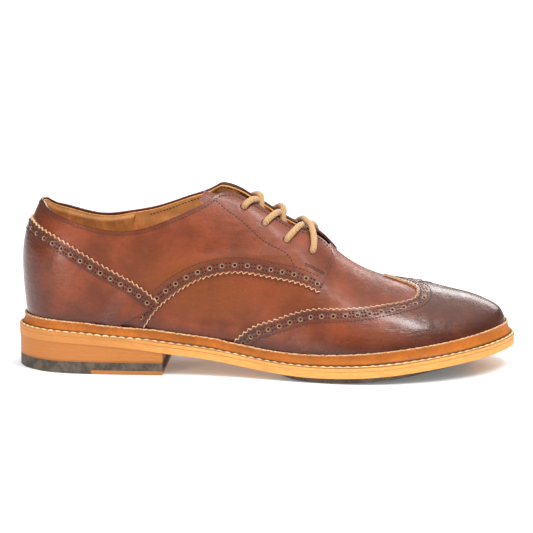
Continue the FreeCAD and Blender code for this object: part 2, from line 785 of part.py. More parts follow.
def corner_radius(a, b, c):
    one = b - a
    two = c - b
    half = one.getAngle(two) / 2
    return 0.45 * min(one.Length, two.Length) / math.tan(max(half, 0.01)), half


def cord(points, radius):
    """Tube of straight runs joined by arcs; returns the solid and the length of its centre line."""
    edges = []
    at = points[0]
    for i in range(1, len(points) - 1):
        a, b, c = points[i - 1], points[i], points[i + 1]
        bend, half = corner_radius(a, b, c)
        cut = bend * math.tan(half)
        one = FreeCAD.Vector(b - a)
        two = FreeCAD.Vector(c - b)
        one.normalize()
        two.normalize()
        start = b - one * cut
        end = b + two * cut
        bisect = two - one
        bisect.normalize()
        middle = b + bisect * (bend / math.cos(half) - bend)
        edges.append(Part.makeLine(at, start))
        edges.append(Part.Arc(start, middle, end).toShape())
        at = end
    edges.append(Part.makeLine(at, points[-1]))
    wire = Part.Wire(edges)
    first = points[1] - points[0]
    ring = Part.Wire(Part.makeCircle(radius, points[0], first))
    solid = wire.makePipeShell([ring], True, True)
    return solid, wire.Length


def aglet(tip, inner_point):
    axis = inner_point - tip
    axis.normalize()
    start = tip - axis * 1.0
    tube = Part.makeCylinder(AGLET_RADIUS, AGLET_LENGTH, start, axis)
    bore = Part.makeCylinder(LACE_RADIUS + 0.12, AGLET_LENGTH, start + axis * 0.8, axis)
    return tube.cut(bore)


def main():
    pins = heel_nails(NAIL_RADIUS + 0.1)
    save(heel_nails(NAIL_RADIUS), "heel_nails")
    save(outsole(pins), "outsole")
    save(forepart_rubber(), "forepart_rubber")
    second = RUBBER_TOP + LIFT_THICK
    third = RUBBER_TOP + 2 * LIFT_THICK
    save(heel_block(level(second), level(third)).cut(pins), "heel_lift_upper")
    save(heel_block(level(RUBBER_TOP), level(second)).cut(pins), "heel_lift_lower")
    save(heel_block(level(third), underside).cut(pins), "heel_wedge_lift")
    tip = heel_block(level(0), level(TIP_THICK), HEEL_FLARE, TIP_BACK, HEEL_BREAST)
    save(tip, "heel_leather_tip")
    save(heel_block(level(0), level(RUBBER_TOP)).cut(tip), "heel_rubber_lift")
    save(welt(), "welt")
    save(storm_rand(), "storm_rand")
    save(insole(), "insole")
    save(sock_liner(), "sock_liner")
    save(shank(), "shank")
    save(cork_filler(), "cork_filler")
    save(toe_puff(), "toe_puff")
    save(heel_stiffener(), "heel_stiffener")
    save(vamp(), "vamp")
    save(vamp_lining(), "vamp_lining")
    save(wing_cap(), "wing_cap")
    save(heel_counter(), "heel_counter")
    save(heel_lining(), "heel_lining")
    for side, name in ((-1, "lateral"), (1, "medial")):
        holes = eyelet_cutters(side)
        save(quarter(side, holes), "quarter_" + name)
        save(quarter_lining(side, holes), "quarter_lining_" + name)
    save(tongue(), "tongue")
    save(tongue_lining(), "tongue_lining")
    route = lace_route()
    lace, length = cord(route, LACE_RADIUS)
    save(lace, "shoelace")
    bends = [corner_radius(*route[i:i + 3])[0] for i in range(len(route) - 2)]
    print("lace length", round(length, 1), "volume", round(lace.Volume),
          "section x length", round(math.pi * LACE_RADIUS ** 2 * length), "least radius", round(min(bends), 2))
    tips = [aglet(route[0], route[1]), aglet(route[-1], route[-2])]
    save(Part.makeCompound(tips), "aglets")


if __name__ == "__main__":
    os.makedirs("parts", exist_ok=True)
    main()
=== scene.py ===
import math

import bpy
import numpy as np
from bpy.props import FloatProperty, FloatVectorProperty, PointerProperty
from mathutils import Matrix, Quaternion, Vector


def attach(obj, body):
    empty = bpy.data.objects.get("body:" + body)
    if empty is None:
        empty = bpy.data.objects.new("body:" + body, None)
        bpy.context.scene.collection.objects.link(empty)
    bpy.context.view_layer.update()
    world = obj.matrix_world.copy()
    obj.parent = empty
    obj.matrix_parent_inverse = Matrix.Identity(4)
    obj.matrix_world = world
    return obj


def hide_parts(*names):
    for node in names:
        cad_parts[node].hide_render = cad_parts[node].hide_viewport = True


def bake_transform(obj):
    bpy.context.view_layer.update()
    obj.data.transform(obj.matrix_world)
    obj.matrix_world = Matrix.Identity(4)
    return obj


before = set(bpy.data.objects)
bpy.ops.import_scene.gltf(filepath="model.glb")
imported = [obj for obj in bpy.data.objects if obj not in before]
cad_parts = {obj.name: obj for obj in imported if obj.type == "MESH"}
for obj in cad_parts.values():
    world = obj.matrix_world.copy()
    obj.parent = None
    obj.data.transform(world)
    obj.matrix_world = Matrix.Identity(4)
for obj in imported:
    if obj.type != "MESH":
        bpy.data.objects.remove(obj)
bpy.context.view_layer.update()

bl_info = {
    "name": "Leather wingtip shoe",
    "version": (1, 0, 0),
    "blender": (4, 5, 0),
    "location": "3D View > Sidebar > Shoe",
    "description": "Builds a laced leather wingtip shoe round its packed frame",
    "category": "Object",
}

# Lengths in the tables and functions are millimetres; put_mesh turns them into metres.
CENTRE_X = 152.0
CENTRE_Y = -1.30
SOLE_LENGTH = 304.0
OUTSOLE_THICK = 4.0
WELT_THICK = 2.5
RAND_HEIGHT = 5.4
RAND_FOOT = 2.6
RAND_TOP = 0.9
LINING = (-1.2, -0.25)
SHELL = (0.0, 1.3)
OVERLAY = (1.55, 2.85)
LEATHER = 1.3
STEP_OVER = 1.55
HEEL_LINING = (-2.6, -1.7)
TONGUE_TOP = -5.85
TONGUE_CROWN = 1.6
TONGUE_THICK = 1.5
TONGUE_LINING_THICK = 0.9
TONGUE_FRONT_TOP = -1.7
LACE_RADIUS = 1.95
SMALL_HOLE_STEP = 1.15
FIRST_SEAM = 2.6
CAP_SEAM = 8.9
COUNTER_SEAM = 7.9
QUARTER_SEAM = 9.9
RIM_SEAM = 2.3
WELT_SEAM = 0.52
WELT_THREAD = 0.55
FEATHER_BACK = 7.4
FEATHER_FRONT = 296.2

# Outline of the outsole and underside: station from the heel, centre line, half width; station, height.
SOLE = [(0, 0, 0), (9, 0, 20.2), (20, 0, 28.4), (40, -0.2, 33.1), (60, -0.8, 33.8), (85, -2.2, 33),
        (110, -3.8, 32), (135, -4.9, 34), (160, -5, 40), (185, -4.2, 47.2), (205, -3, 51.6),
        (222, -1.5, 53.2), (240, 0.3, 51.9), (258, 1.8, 47.4), (274, 3, 40.4), (288, 4, 30.6),
        (298, 4.6, 18.2), (304, 5, 0)]
UNDERSIDE = [(0, 19.2), (22, 19.0), (53, 17.7), (77, 15.5), (92, 13.5), (114, 11), (135, 7.9),
             (155, 4.9), (170, 3.5), (187, 3.1), (205, 3.6), (221, 4.5), (235, 5.7), (248, 7.2),
             (265, 9.2), (282, 11.3), (295, 12.9), (304, 14)]
# Feather line of the upper, its height, and the shape of the foot form above it.
FEATHER = [(7.4, 0, 0), (9, 0, 7.4), (14, 0, 14.9), (20, 0, 20), (30, 0, 24.2), (40, -0.2, 25.9),
           (60, -0.8, 26.8), (85, -2.2, 26), (110, -3.8, 25.1), (135, -4.9, 26.6), (160, -5, 31.9),
           (185, -4.3, 38.7), (205, -3.1, 42.9), (222, -1.5, 44.4), (240, 0.4, 43.3), (258, 2, 38.5),
           (274, 3.3, 31), (286, 4.2, 21.6), (292, 4.7, 13.9), (296.2, 5, 0)]
GROOVE = [(0, 27.4), (22, 27.1), (53, 25.5), (77, 23.4), (100, 20.4), (114, 18.8), (135, 15.9),
          (155, 12.8), (175, 11.2), (194, 11.3), (221, 12.8), (248, 15.5), (265, 17.5), (278, 19.4),
          (291, 21.4), (304, 23.6)]
RIDGE = [(7.4, 118), (40, 119.8), (80, 116.8), (105, 112.5), (125, 107.8), (145, 101), (165, 90.8),
         (180, 81.8), (195, 68.8), (210, 59), (225, 53), (245, 48.6), (262, 44.6), (278, 40.8),
         (287, 37.3), (292.5, 34), (296.2, 23.2)]
BACK = [(0, 0.5), (8, -0.2), (22, -1.4), (36, -1.9), (50, -0.8), (62, 2.6), (76, 9), (94, 18)]
BULGE = [(7.4, 0), (20, 5), (45, 6.5), (80, 7), (110, 8.5), (140, 7), (170, 4), (200, 3), (225, 2.5),
         (250, 2.5), (275, 2.5), (288, 2), (296.2, 0)]
RISE = [(7.4, 0.5), (45, 0.5), (100, 0.5), (150, 0.42), (190, 0.42), (225, 0.52), (260, 0.57),
        (296.2, 0.56)]
BREADTH = [(7.4, 0.75), (45, 0.72), (85, 0.62), (110, 0.58), (135, 0.62), (160, 0.68), (190, 0.64),
           (225, 0.6), (260, 0.58), (296.2, 0.56)]
RIDGE_LINE = [(7.4, 0), (60, 0), (110, 0), (150, 2), (190, 4), (225, 6), (260, 6), (296.2, 5)]

# Pattern lines: u runs from heel seam 0 to toe 1, v from ridge 0 to feather line 1.
TOPLINE = [(0, 0.37), (0.06, 0.382), (0.1, 0.42), (0.15, 0.458), (0.2, 0.493), (0.25, 0.523),
           (0.29, 0.53), (0.325, 0.507), (0.35, 0.46), (0.375, 0.388), (0.396, 0.312), (0.412, 0.21),
           (0.425, 0.138), (0.442, 0.112)]
FACING = [(0.442, 0.112), (0.458, 0.133), (0.483, 0.155), (0.512, 0.172), (0.535, 0.165),
          (0.56, 0.13), (0.578, 0.105), (0.588, 0.13), (0.592, 0.2)]
# How much nearer the ridge the inner topline runs than the outer one, and how far its top stands off.
INNER_RISE = [(0.2, 0), (0.236, 0.006), (0.263, 0.019), (0.29, 0.042), (0.325, 0.06), (0.355, 0.07),
              (0.376, 0.078), (0.396, 0.08), (0.416, 0.075), (0.442, 0.055), (0.47, 0.03), (0.512, 0)]
INNER_FLARE = 2.2
VAMP_REAR = [(0, 0.585), (0.15, 0.583), (0.3, 0.577), (0.4, 0.554), (0.5, 0.51), (0.6, 0.45),
             (0.7, 0.396), (0.8, 0.354), (0.9, 0.325), (1, 0.3)]
QUARTER_FOOT = [(0, 1), (0.1, 1), (0.2, 1), (0.29, 1), (0.325, 0.992), (0.338, 0.953), (0.354, 0.887),
                (0.375, 0.82), (0.396, 0.76), (0.433, 0.673), (0.475, 0.607), (0.517, 0.567),
                (0.558, 0.542), (0.579, 0.545)]
COUNTER_TOP = [(0, 0.49), (0.05, 0.496), (0.1, 0.524), (0.154, 0.56), (0.208, 0.613), (0.25, 0.667),
               (0.3, 0.733), (0.34, 0.787), (0.362, 0.833)]
COUNTER_FOOT = [(0, 1), (0.09, 1), (0.18, 1), (0.25, 1), (0.278, 0.985), (0.32, 0.92), (0.359, 0.86)]
VAMP_FRONT = [(0, 0.235), (0.1, 0.205), (0.2, 0.19), (0.33, 0.17), (0.43, 0.12), (0.5, 0.06),
              (0.56, 0.0)]
CAP_EDGE = [(0, 0.335), (0.02, 0.309), (0.05, 0.281), (0.09, 0.264), (0.13, 0.249), (0.17, 0.243),
            (0.21, 0.247), (0.25, 0.247), (0.33, 0.237), (0.41, 0.2), (0.465, 0.155), (0.515, 0.09),
            (0.535, 0.045)]
EYELETS = [(0.458, 0.213), (0.492, 0.267), (0.526, 0.3), (0.562, 0.287)]
FACING_SEAM = [(0.417, 0.24), (0.433, 0.28), (0.458, 0.32), (0.483, 0.367), (0.504, 0.387),
               (0.525, 0.39), (0.536, 0.415), (0.542, 0.45), (0.543, 0.5)]
TACKS = [(0.556, 0.4), (0.582, 0.385)]


def spline(knots, column=1, ends=(None, None)):
    """Cubic through the knots: second slopes from the tridiagonal system, free ends or given end slopes."""
    x = np.array([k[0] for k in knots], float)
    y = np.array([k[column] for k in knots], float)
    n = len(x)
    h = np.diff(x)
    a = np.eye(n)
    r = np.zeros(n)
    k = np.arange(1, n - 1)
    a[k, k - 1] = h[:-1]
    a[k, k] = 2 * (h[:-1] + h[1:])
    a[k, k + 1] = h[1:]
    r[1:-1] = 6 * (np.diff(y)[1:] / h[1:] - np.diff(y)[:-1] / h[:-1])
    if ends[0] is not None:
        a[0, :2] = 2 * h[0], h[0]
        r[0] = 6 * ((y[1] - y[0]) / h[0] - ends[0])
    if ends[1] is not None:
        a[-1, -2:] = h[-1], 2 * h[-1]
        r[-1] = 6 * (ends[1] - (y[-1] - y[-2]) / h[-1])
    m = np.linalg.solve(a, r)

    def value(at):
        at = np.clip(np.asarray(at, float), x[0], x[-1])
        i = np.clip(np.searchsorted(x, at) - 1, 0, n - 2)
        t = at - x[i]
        slope = (y[i + 1] - y[i]) / h[i] - h[i] * (2 * m[i] + m[i + 1]) / 6
        return y[i] + t * (slope + t * (m[i] / 2 + t * (m[i + 1] - m[i]) / (6 * h[i])))

    return value


def last_u(s):
    """Angle of the station on a half circle spanning the feather line, 0 to 1."""
    return math.acos(1 - 2 * (s - FEATHER_BACK) / (FEATHER_FRONT - FEATHER_BACK)) / math.pi


def sole_u(s):
    """The same angle over the length of the outsole."""
    return math.acos(1 - 2 * s / SOLE_LENGTH) / math.pi


def by_station(knots, column=1, ends=(None, None)):
    return spline([(last_u(k[0]), k[column]) for k in knots], 1, ends)


groove = spline(GROOVE)
underside = spline(UNDERSIDE)
feather_centre = by_station(FEATHER, 1, (0, 0))
feather_half = by_station(FEATHER, 2)
crest = spline([(last_u(k[0]), k[1] - float(groove(k[0]))) for k in RIDGE])
back = spline(BACK)
bulge = by_station(BULGE)
rise = by_station(RISE)
breadth = by_station(BREADTH)
ridge_line = by_station(RIDGE_LINE)
sole_centre = spline([(sole_u(k[0]), k[1]) for k in SOLE], 1, (0, 0))
sole_half = spline([(sole_u(k[0]), k[2]) for k in SOLE])
vamp_rear = spline(VAMP_REAR, 1, (0, None))
vamp_front = spline(VAMP_FRONT, 1, (0, None))
facing_edge = spline(FACING[:6])
inner_rise = spline(INNER_RISE, 1, (0, 0))
cap_edge = spline(CAP_EDGE)


def smooth(x):
    """Cubic step from 0 to 1: x squared times (3 - 2x), x held between 0 and 1."""
    x = np.clip(x, 0, 1)
    return x * x * (3 - 2 * x)


def body(u, v):
    """Foot form: each half section is a cubic Bezier from feather line to ridge, set at its station."""
    u, v = np.broadcast_arrays(np.asarray(u, float), np.asarray(v, float))
    v = np.where(u < 0, -v, v)
    u = np.abs(u)
    side = np.where(v >= 0, 1.0, -1.0)
    t = 1 - np.abs(v)
    w = np.maximum(feather_half(u), 0)
    height = crest(u)
    run = (1 - np.cos(math.pi * u)) / 2
    flat = FEATHER_BACK + (FEATHER_FRONT - FEATHER_BACK) * run
    yr = ridge_line(u) * np.minimum(1, w / 10)
    yf = feather_centre(u) + side * w
    y1 = yf + side * bulge(u)
    y2 = yr + side * np.abs(yf - yr) * breadth(u)
    a, b, c, d = (1 - t) ** 3, 3 * t * (1 - t) ** 2, 3 * t * t * (1 - t), t ** 3
    z = b * rise(u) * height + (c + d) * height
    rear = FEATHER_BACK + back(z)
    s = rear + (FEATHER_FRONT - rear) * run
    return np.stack([s - CENTRE_X, a * yf + b * y1 + c * y2 + d * yr - CENTRE_Y, z + groove(flat)], -1)


def toe_chart(x, y):
    """(u, v) from the distance to the feather line and along it, polar about the toe tip."""
    return 1 - np.hypot(x, y), np.arctan2(y, x) * 2 / math.pi


def unit(p):
    """Vectors over their lengths."""
    return p / np.maximum(np.linalg.norm(p, axis=-1, keepdims=True), 1e-9)


def offset(u, v, d):
    """Point at distance d along the normal of the foot form, the normal from central differences."""
    u, v = np.broadcast_arrays(np.asarray(u, float), np.asarray(v, float))
    e = 0.002
    r = 1 - np.minimum(u, 1)
    x = r * np.cos(v * math.pi / 2)
    y = r * np.sin(v * math.pi / 2)
    toe = np.cross(body(*toe_chart(x, y + e)) - body(*toe_chart(x, y - e)),
                   body(*toe_chart(x + e, y)) - body(*toe_chart(np.maximum(x - e, 0), y)))
    rear = np.cross(body(u + e, v) - body(u - e, v),
                    body(u, np.minimum(v + e, 1)) - body(u, np.maximum(v - e, -1)))
    n = np.where((u > 0.5)[..., None], toe, rear)
    return body(u, v) + unit(n) * np.asarray(d, float)[..., None]


def step_up(u, v):
    """Lift of the quarter over the vamp: a cubic step across its rear edge."""
    return STEP_OVER * smooth((u - vamp_rear(np.abs(v)) + 0.058) / 0.036)


def top_edge(side):
    """Knots of the topline and the facing; on the inner side they stand higher before the laces."""
    knots = np.array(TOPLINE[:-1] + FACING)
    if side > 0:
        knots[:, 1] -= inner_rise(knots[:, 0])
    return knots


def flare(u, v, side):
    """How far the top of the inner quarter stands off the foot form beside the tongue, a bell along u."""
    u, v = np.broadcast_arrays(u, v)
    bell = INNER_FLARE * np.exp(-((u - 0.425) / 0.03) ** 2) * smooth((0.3 - np.abs(v)) / 0.15)
    return bell * (side > 0)


def through(knots, count=None, at=None):
    """Points of a cubic through chart knots by chord length, v counted half, evenly or at given parts."""
    k = np.array(knots, float)
    length = np.concatenate([[0], np.cumsum(np.hypot(np.diff(k[:, 0]), np.diff(k[:, 1]) * 0.5))])
    t = np.linspace(0, 1, count) if at is None else np.asarray(at)
    fu = spline(np.stack([length, k[:, 0]], 1))
    fv = spline(np.stack([length, k[:, 1]], 1))
    return fu(t * length[-1]), fv(t * length[-1])


def tongue_base(u, v):
    """Foot form averaged over five places across the ridge, so a deep sheet keeps a round crown."""
    return sum(body(u, v + 0.06 * k) for k in range(-2, 3)) * 0.2


def tongue_at(u, v, d):
    """Point at distance d along the normal of the averaged form."""
    u, v = np.broadcast_arrays(np.asarray(u, float), np.asarray(v, float))
    e = 0.004
    n = np.cross(tongue_base(u + e, v) - tongue_base(u - e, v), tongue_base(u, v + e) - tongue_base(u, v - e))
    return tongue_base(u, v) + unit(n) * np.asarray(d, float)[..., None]


def tongue_level(u, v):
    """Depth of the tongue's face: a bell-shaped crown along the ridge, and a step up at its root."""
    crown = TONGUE_CROWN * np.exp(-(v / 0.15) ** 2) * (1 - 0.75 * smooth((u - 0.4) / 0.05))
    front = (TONGUE_FRONT_TOP - TONGUE_TOP) * smooth((u - 0.572) / 0.03)
    return TONGUE_TOP + front + crown * (1 - smooth((u - 0.5) / 0.08))


# ------------------------------------------------------------------ mesh helpers

def put_mesh(name, points, faces, materials, uv=None, burnish=None, face_slots=None, sharp=40):
    """Mesh object in metres from millimetre points, with its own UV map and a per-point value of polishing
    and painted shade.
    """
    mesh = bpy.data.meshes.new(name)
    mesh.from_pydata((points * 0.001).tolist(), [], faces)
    if uv is not None:
        layer = mesh.uv_layers.new(name="band")
        corner = np.empty(len(mesh.loops), np.int32)
        mesh.loops.foreach_get("vertex_index", corner)
        layer.data.foreach_set("uv", uv[corner].astype(np.float32).ravel())
    if burnish is not None:
        layer = mesh.attributes.new("burnish", "FLOAT", "POINT")
        layer.data.foreach_set("value", burnish.astype(np.float32).ravel())
    for material in materials:
        mesh.materials.append(material)
    if face_slots is not None:
        mesh.polygons.foreach_set("material_index", np.asarray(face_slots, np.int32))
    mesh.shade_smooth()
    mesh.set_sharp_from_angle(angle=math.radians(sharp))
    mesh.update()
    obj = bpy.data.objects.new(name, mesh)
    bpy.context.collection.objects.link(obj)
    return obj


def skin(name, outer, inner, materials, band=None, burnish=None, raw=(1, 1, 1, 1)):
    """Closed sheet: outer grid, inner grid turned over, and a wall along each border in its own slot."""
    n, m = outer.shape[:2]
    at = np.arange(n * m).reshape(n, m)
    far = at + n * m
    a, b, c, d = at[:-1, :-1], at[1:, :-1], at[1:, 1:], at[:-1, 1:]
    quads = np.stack([a, b, c, d], -1).reshape(-1, 4)
    under = (quads + n * m)[:, ::-1]
    walls = [np.stack([at[1:, 0], at[:-1, 0], far[:-1, 0], far[1:, 0]], -1),
             np.stack([at[-1, 1:], at[-1, :-1], far[-1, :-1], far[-1, 1:]], -1),
             np.stack([at[:-1, -1], at[1:, -1], far[1:, -1], far[:-1, -1]], -1),
             np.stack([at[0, :-1], at[0, 1:], far[0, 1:], far[0, :-1]], -1)]
    wall = np.concatenate(walls)
    faces = np.concatenate([quads, under, wall])
    normal = np.cross(outer[1:, :-1] - outer[:-1, :-1], outer[:-1, 1:] - outer[:-1, :-1])
    if (normal * (outer - inner)[:-1, :-1]).sum() < 0:
        faces = faces[:, ::-1]
    slots = np.concatenate([np.zeros(2 * len(quads))] + [np.full(len(w), r) for w, r in zip(walls, raw)])
    points = np.concatenate([outer.reshape(-1, 3), inner.reshape(-1, 3)])
    uv = np.full((n * m, 2), 60.0) if band is None else np.stack([band[0].ravel(), band[1].ravel()], 1)
    shade = np.zeros(n * m) if burnish is None else burnish.ravel()
    return put_mesh(name, points, faces.tolist(), materials, np.concatenate([uv, uv]),
                    np.concatenate([shade, shade]), slots)


def strip(name, sections, materials, burnish):
    """Closed strip: a profile of points carried along a path, with a fan over each end."""
    n, k = sections.shape[:2]
    at = np.arange(n * k).reshape(n, k)
    nxt = np.roll(at, -1, 1)
    quads = np.stack([at[:-1], at[1:], nxt[1:], nxt[:-1]], -1).reshape(-1, 4)
    middle = sections.mean(1, keepdims=True)
    normal = np.cross(sections[1:, :] - sections[:-1, :], np.roll(sections, -1, 1)[:-1] - sections[:-1])
    ends = [at[0].tolist(), at[-1, ::-1].tolist()]
    if (normal * (sections - middle)[:-1]).sum() < 0:
        quads = quads[:, ::-1]
        ends = [e[::-1] for e in ends]
    faces = quads.tolist() + ends
    shade = np.broadcast_to(burnish, (n, k)).ravel()
    return put_mesh(name, sections.reshape(-1, 3), faces, materials, None, shade, sharp=35)


def band_of(points, edge):
    """Place along an edge line and distance from it, from the nearest edge point and its tangent."""
    run = np.concatenate([[0], np.cumsum(np.linalg.norm(np.diff(edge, axis=0), axis=1))])
    tangent = unit(np.gradient(edge, axis=0))
    flat = points.reshape(-1, 3)
    near = np.empty(len(flat), int)
    for part in np.array_split(np.arange(len(flat)), max(1, len(flat) // 4000)):
        p = flat[part]
        near[part] = ((edge ** 2).sum(1)[None] - 2 * p @ edge.T).argmin(1)
    gap = flat - edge[near]
    slide = (gap * tangent[near]).sum(1)
    off = np.sqrt(np.maximum((gap ** 2).sum(1) - slide ** 2, 0))
    return (run[near] + slide).reshape(points.shape[:2]), off.reshape(points.shape[:2])


def resample(line, normals, start, end, spacing):
    """Points, directions and normals at even spacing along a line."""
    run = np.concatenate([[0], np.cumsum(np.linalg.norm(np.diff(line, axis=0), axis=1))])
    at = np.arange(start, run[-1] - end, spacing)
    place = np.stack([np.interp(at, run, line[:, k]) for k in range(3)], 1)
    up = unit(np.stack([np.interp(at, run, normals[:, k]) for k in range(3)], 1))
    ahead = np.stack([np.interp(at + 0.3, run, line[:, k]) for k in range(3)], 1)
    return place, unit(ahead - place), up


def stitches(rows, length, radius, lift=0.0):
    """Thread stitches: six-sided rings with a round belly, both ends sunk into the leather."""
    place = np.concatenate([r[0] for r in rows])
    along = np.concatenate([r[1] for r in rows])
    up = np.concatenate([r[2] for r in rows])
    up = unit(up - along * (up * along).sum(1, keepdims=True))
    across = np.cross(along, up)
    at = np.array([-0.5, -0.4, -0.15, 0.15, 0.4, 0.5])
    girth = np.array([0.3, 0.85, 1.0, 1.0, 0.85, 0.3])
    rise_up = np.array([-0.9, -0.1, 0.35, 0.35, -0.1, -0.9])
    turn = np.arange(6) * math.pi / 3
    centre = (place[:, None] + along[:, None] * (at * length)[None, :, None]
              + up[:, None] * (rise_up * radius + lift)[None, :, None])
    ring = (across[:, None, :] * np.cos(turn)[None, :, None] + up[:, None, :] * np.sin(turn)[None, :, None])
    points = centre[:, :, None] + ring[:, None] * (girth * radius)[None, :, None, None]
    count = len(place)
    base = np.arange(count)[:, None] * 36
    i, j = np.meshgrid(np.arange(5), np.arange(6), indexing="ij")
    a, b = i * 6 + j, i * 6 + (j + 1) % 6
    quads = np.stack([a, a + 6, b + 6, b], -1).reshape(1, -1, 4) + base[:, :, None]
    caps = [(base + np.arange(6)[None]).tolist(), (base + 30 + np.arange(5, -1, -1)[None]).tolist()]
    normal = np.cross(points[0, 1, 0] - points[0, 0, 0], points[0, 0, 1] - points[0, 0, 0])
    faces = quads.reshape(-1, 4)
    if (normal * ring[0, 0]).sum() < 0:
        faces = faces[:, ::-1]
        caps = [(base + np.arange(5, -1, -1)[None]).tolist(), (base + 30 + np.arange(6)[None]).tolist()]
    return points.reshape(-1, 3), faces.tolist() + caps[0] + caps[1]


def sew(name, rows, look, length, radius, lift=0.0):
    points, faces = stitches(rows, length, radius, lift)
    ship(put_mesh(name, points, faces, [look], sharp=80), "lace_cotton")


def sew_upper(name, rows):
    """Dark thread of the upper, stitches four fifths of their pitch long."""
    look = material("upper thread", thread_cloth, finish().thread)
    sew(name, rows, look, mm("stitch") * 0.8, mm("thread"))


# ------------------------------------------------------------------ settings

def colour(name, description, value):
    return FloatVectorProperty(name=name, description=description, subtype="COLOR", size=4, min=0, max=1,
                               default=value)


def size(name, description, value):
    return FloatProperty(name=name, description=description, default=value, unit="LENGTH", min=0)


class ShoeFinish(bpy.types.PropertyGroup):
    """Colours of the leathers, threads and sole."""
    calf: colour("Calf", "Main colour of the upper leather", (0.195, 0.039, 0.0110, 1))
    calf_light: colour("Calf highlight", "Rubbed, amber colour of the calf", (0.215, 0.048, 0.005, 1))
    # Also used for painted shade: near black inside the punched holes, and through the per-point value on the
    # lower wall, the tongue and the welt channel.
    calf_dark: colour("Burnish", "Dark polish at toe, seams and heel", (0.050, 0.013, 0.007, 1))
    raw_edge: colour("Raw edge", "Cut edge of the leather", (0.74, 0.50, 0.29, 1))
    # The lining colour is raised above the leather's own tan so that the quarter linings, which lie in shade,
    # come out light: painted light.
    lining: colour("Lining", "Vegetable tanned lining leather", (0.78, 0.36, 0.12, 1))
    rand: colour("Rand", "Storm rand leather", (0.44, 0.125, 0.014, 1))
    sole: colour("Sole edge", "Dressed edge of welt and outsole", (0.80, 0.37, 0.092, 1))
    stack: colour("Heel stack", "Layered leather of the heel", (0.50, 0.175, 0.037, 1))
    rubber: colour("Rubber", "Sole rubber", (0.092, 0.070, 0.052, 1))
    lace: colour("Lace", "Waxed cotton lace", (0.50, 0.29, 0.13, 1))
    thread: colour("Upper thread", "Thread of the upper", (0.070, 0.028, 0.016, 1))
    band: colour("Brogue band", "Leather between the pinked edge and the seam", (0.095, 0.024, 0.014, 1))
    welt_thread: colour("Welt thread", "Thread of the welt seam", (0.80, 0.60, 0.30, 1))


class ShoeSizes(bpy.types.PropertyGroup):
    """Sizes of the decoration."""
    tooth_pitch: size("Tooth pitch", "Distance between the points of the pinked edge", 0.0035)
    tooth_depth: size("Tooth depth", "Depth of the pinked edge", 0.0016)
    hole_row: size("Hole row", "Distance of the large holes from the pinked edge", 0.0053)
    hole_radius: size("Hole radius", "Radius of the large punched holes", 0.0009)
    stitch: size("Stitch", "Stitch pitch of the upper", 0.0022)
    thread: size("Thread", "Thread radius of the upper", 0.00031)
    welt_stitch: size("Welt stitch", "Stitch pitch of the welt", 0.0050)


def finish():
    return bpy.context.scene.shoe_finish


def mm(name):
    return getattr(bpy.context.scene.shoe_sizes, name) * 1000


# ------------------------------------------------------------------ materials

class Nodes:
    """Short hand for a node tree: each call adds a node and links or sets its inputs."""

    def __init__(self, name):
        self.material = bpy.data.materials.new(name)
        self.material.use_nodes = True
        self.tree = self.material.node_tree
        self.tree.nodes.clear()
        self.shader = self.tree.nodes.new("ShaderNodeBsdfPrincipled")
        out = self.tree.nodes.new("ShaderNodeOutputMaterial")
        self.tree.links.new(self.shader.outputs[0], out.inputs[0])
        self.place = self.add("ShaderNodeTexCoord").outputs["Object"]

    def add(self, kind, **settings):
        node = self.tree.nodes.new(kind)
        for key, value in settings.items():
            setattr(node, key, value)
        return node

    def put(self, socket, value):
        if isinstance(value, bpy.types.NodeSocket):
            self.tree.links.new(value, socket)
        else:
            socket.default_value = value

    def math(self, how, a, b=0.0, c=0.0, clamp=False):
        node = self.add("ShaderNodeMath", operation=how, use_clamp=clamp)
        for socket, value in zip(node.inputs, (a, b, c)):
            self.put(socket, value)
        return node.outputs[0]

    def ramp(self, value, low, high, a=0.0, b=1.0):
        """Smooth step of value between low and high, from a to b."""
        node = self.add("ShaderNodeMapRange", interpolation_type="SMOOTHSTEP")
        for key, part in zip(("Value", "From Min", "From Max", "To Min", "To Max"), (value, low, high, a, b)):
            self.put(node.inputs[key], part)
        return node.outputs[0]

    def mix(self, share, a, b, how="MIX"):
        node = self.add("ShaderNodeMix", data_type="RGBA", blend_type=how)
        self.put(node.inputs[0], share)
        self.put(node.inputs[6], a)
        self.put(node.inputs[7], b)
        return node.outputs[2]

    def noise(self, scale, detail=3.0, rough=0.5, where=None, stretch=None):
        place = where or self.place
        if stretch:
            mapping = self.add("ShaderNodeMapping")
            self.put(mapping.inputs[0], place)
            mapping.inputs["Scale"].default_value = stretch
            place = mapping.outputs[0]
        node = self.add("ShaderNodeTexNoise")
        self.put(node.inputs["Vector"], place)
        node.inputs["Scale"].default_value = scale
        node.inputs["Detail"].default_value = detail
        node.inputs["Roughness"].default_value = rough
        return node.outputs["Fac"]

    def cells(self, scale, feature="F1"):
        node = self.add("ShaderNodeTexVoronoi", feature=feature)
        self.put(node.inputs["Vector"], self.place)
        node.inputs["Scale"].default_value = scale
        return node.outputs["Distance"]

    def bump(self, height, distance, strength=1.0, base=None):
        node = self.add("ShaderNodeBump")
        self.put(node.inputs["Height"], height)
        node.inputs["Distance"].default_value = distance
        node.inputs["Strength"].default_value = strength
        if base:
            self.put(node.inputs["Normal"], base)
        return node.outputs[0]

    def surface(self, base, roughness, normal=None, **fixed):
        self.put(self.shader.inputs["Base Color"], base)
        self.put(self.shader.inputs["Roughness"], roughness)
        if normal:
            self.put(self.shader.inputs["Normal"], normal)
        for key, value in fixed.items():
            self.shader.inputs[key.replace("_", " ")].default_value = value
        return self.material


def tuned(shade, factor):
    return tuple(min(c * factor, 1) for c in shade[:3]) + (1.0,)


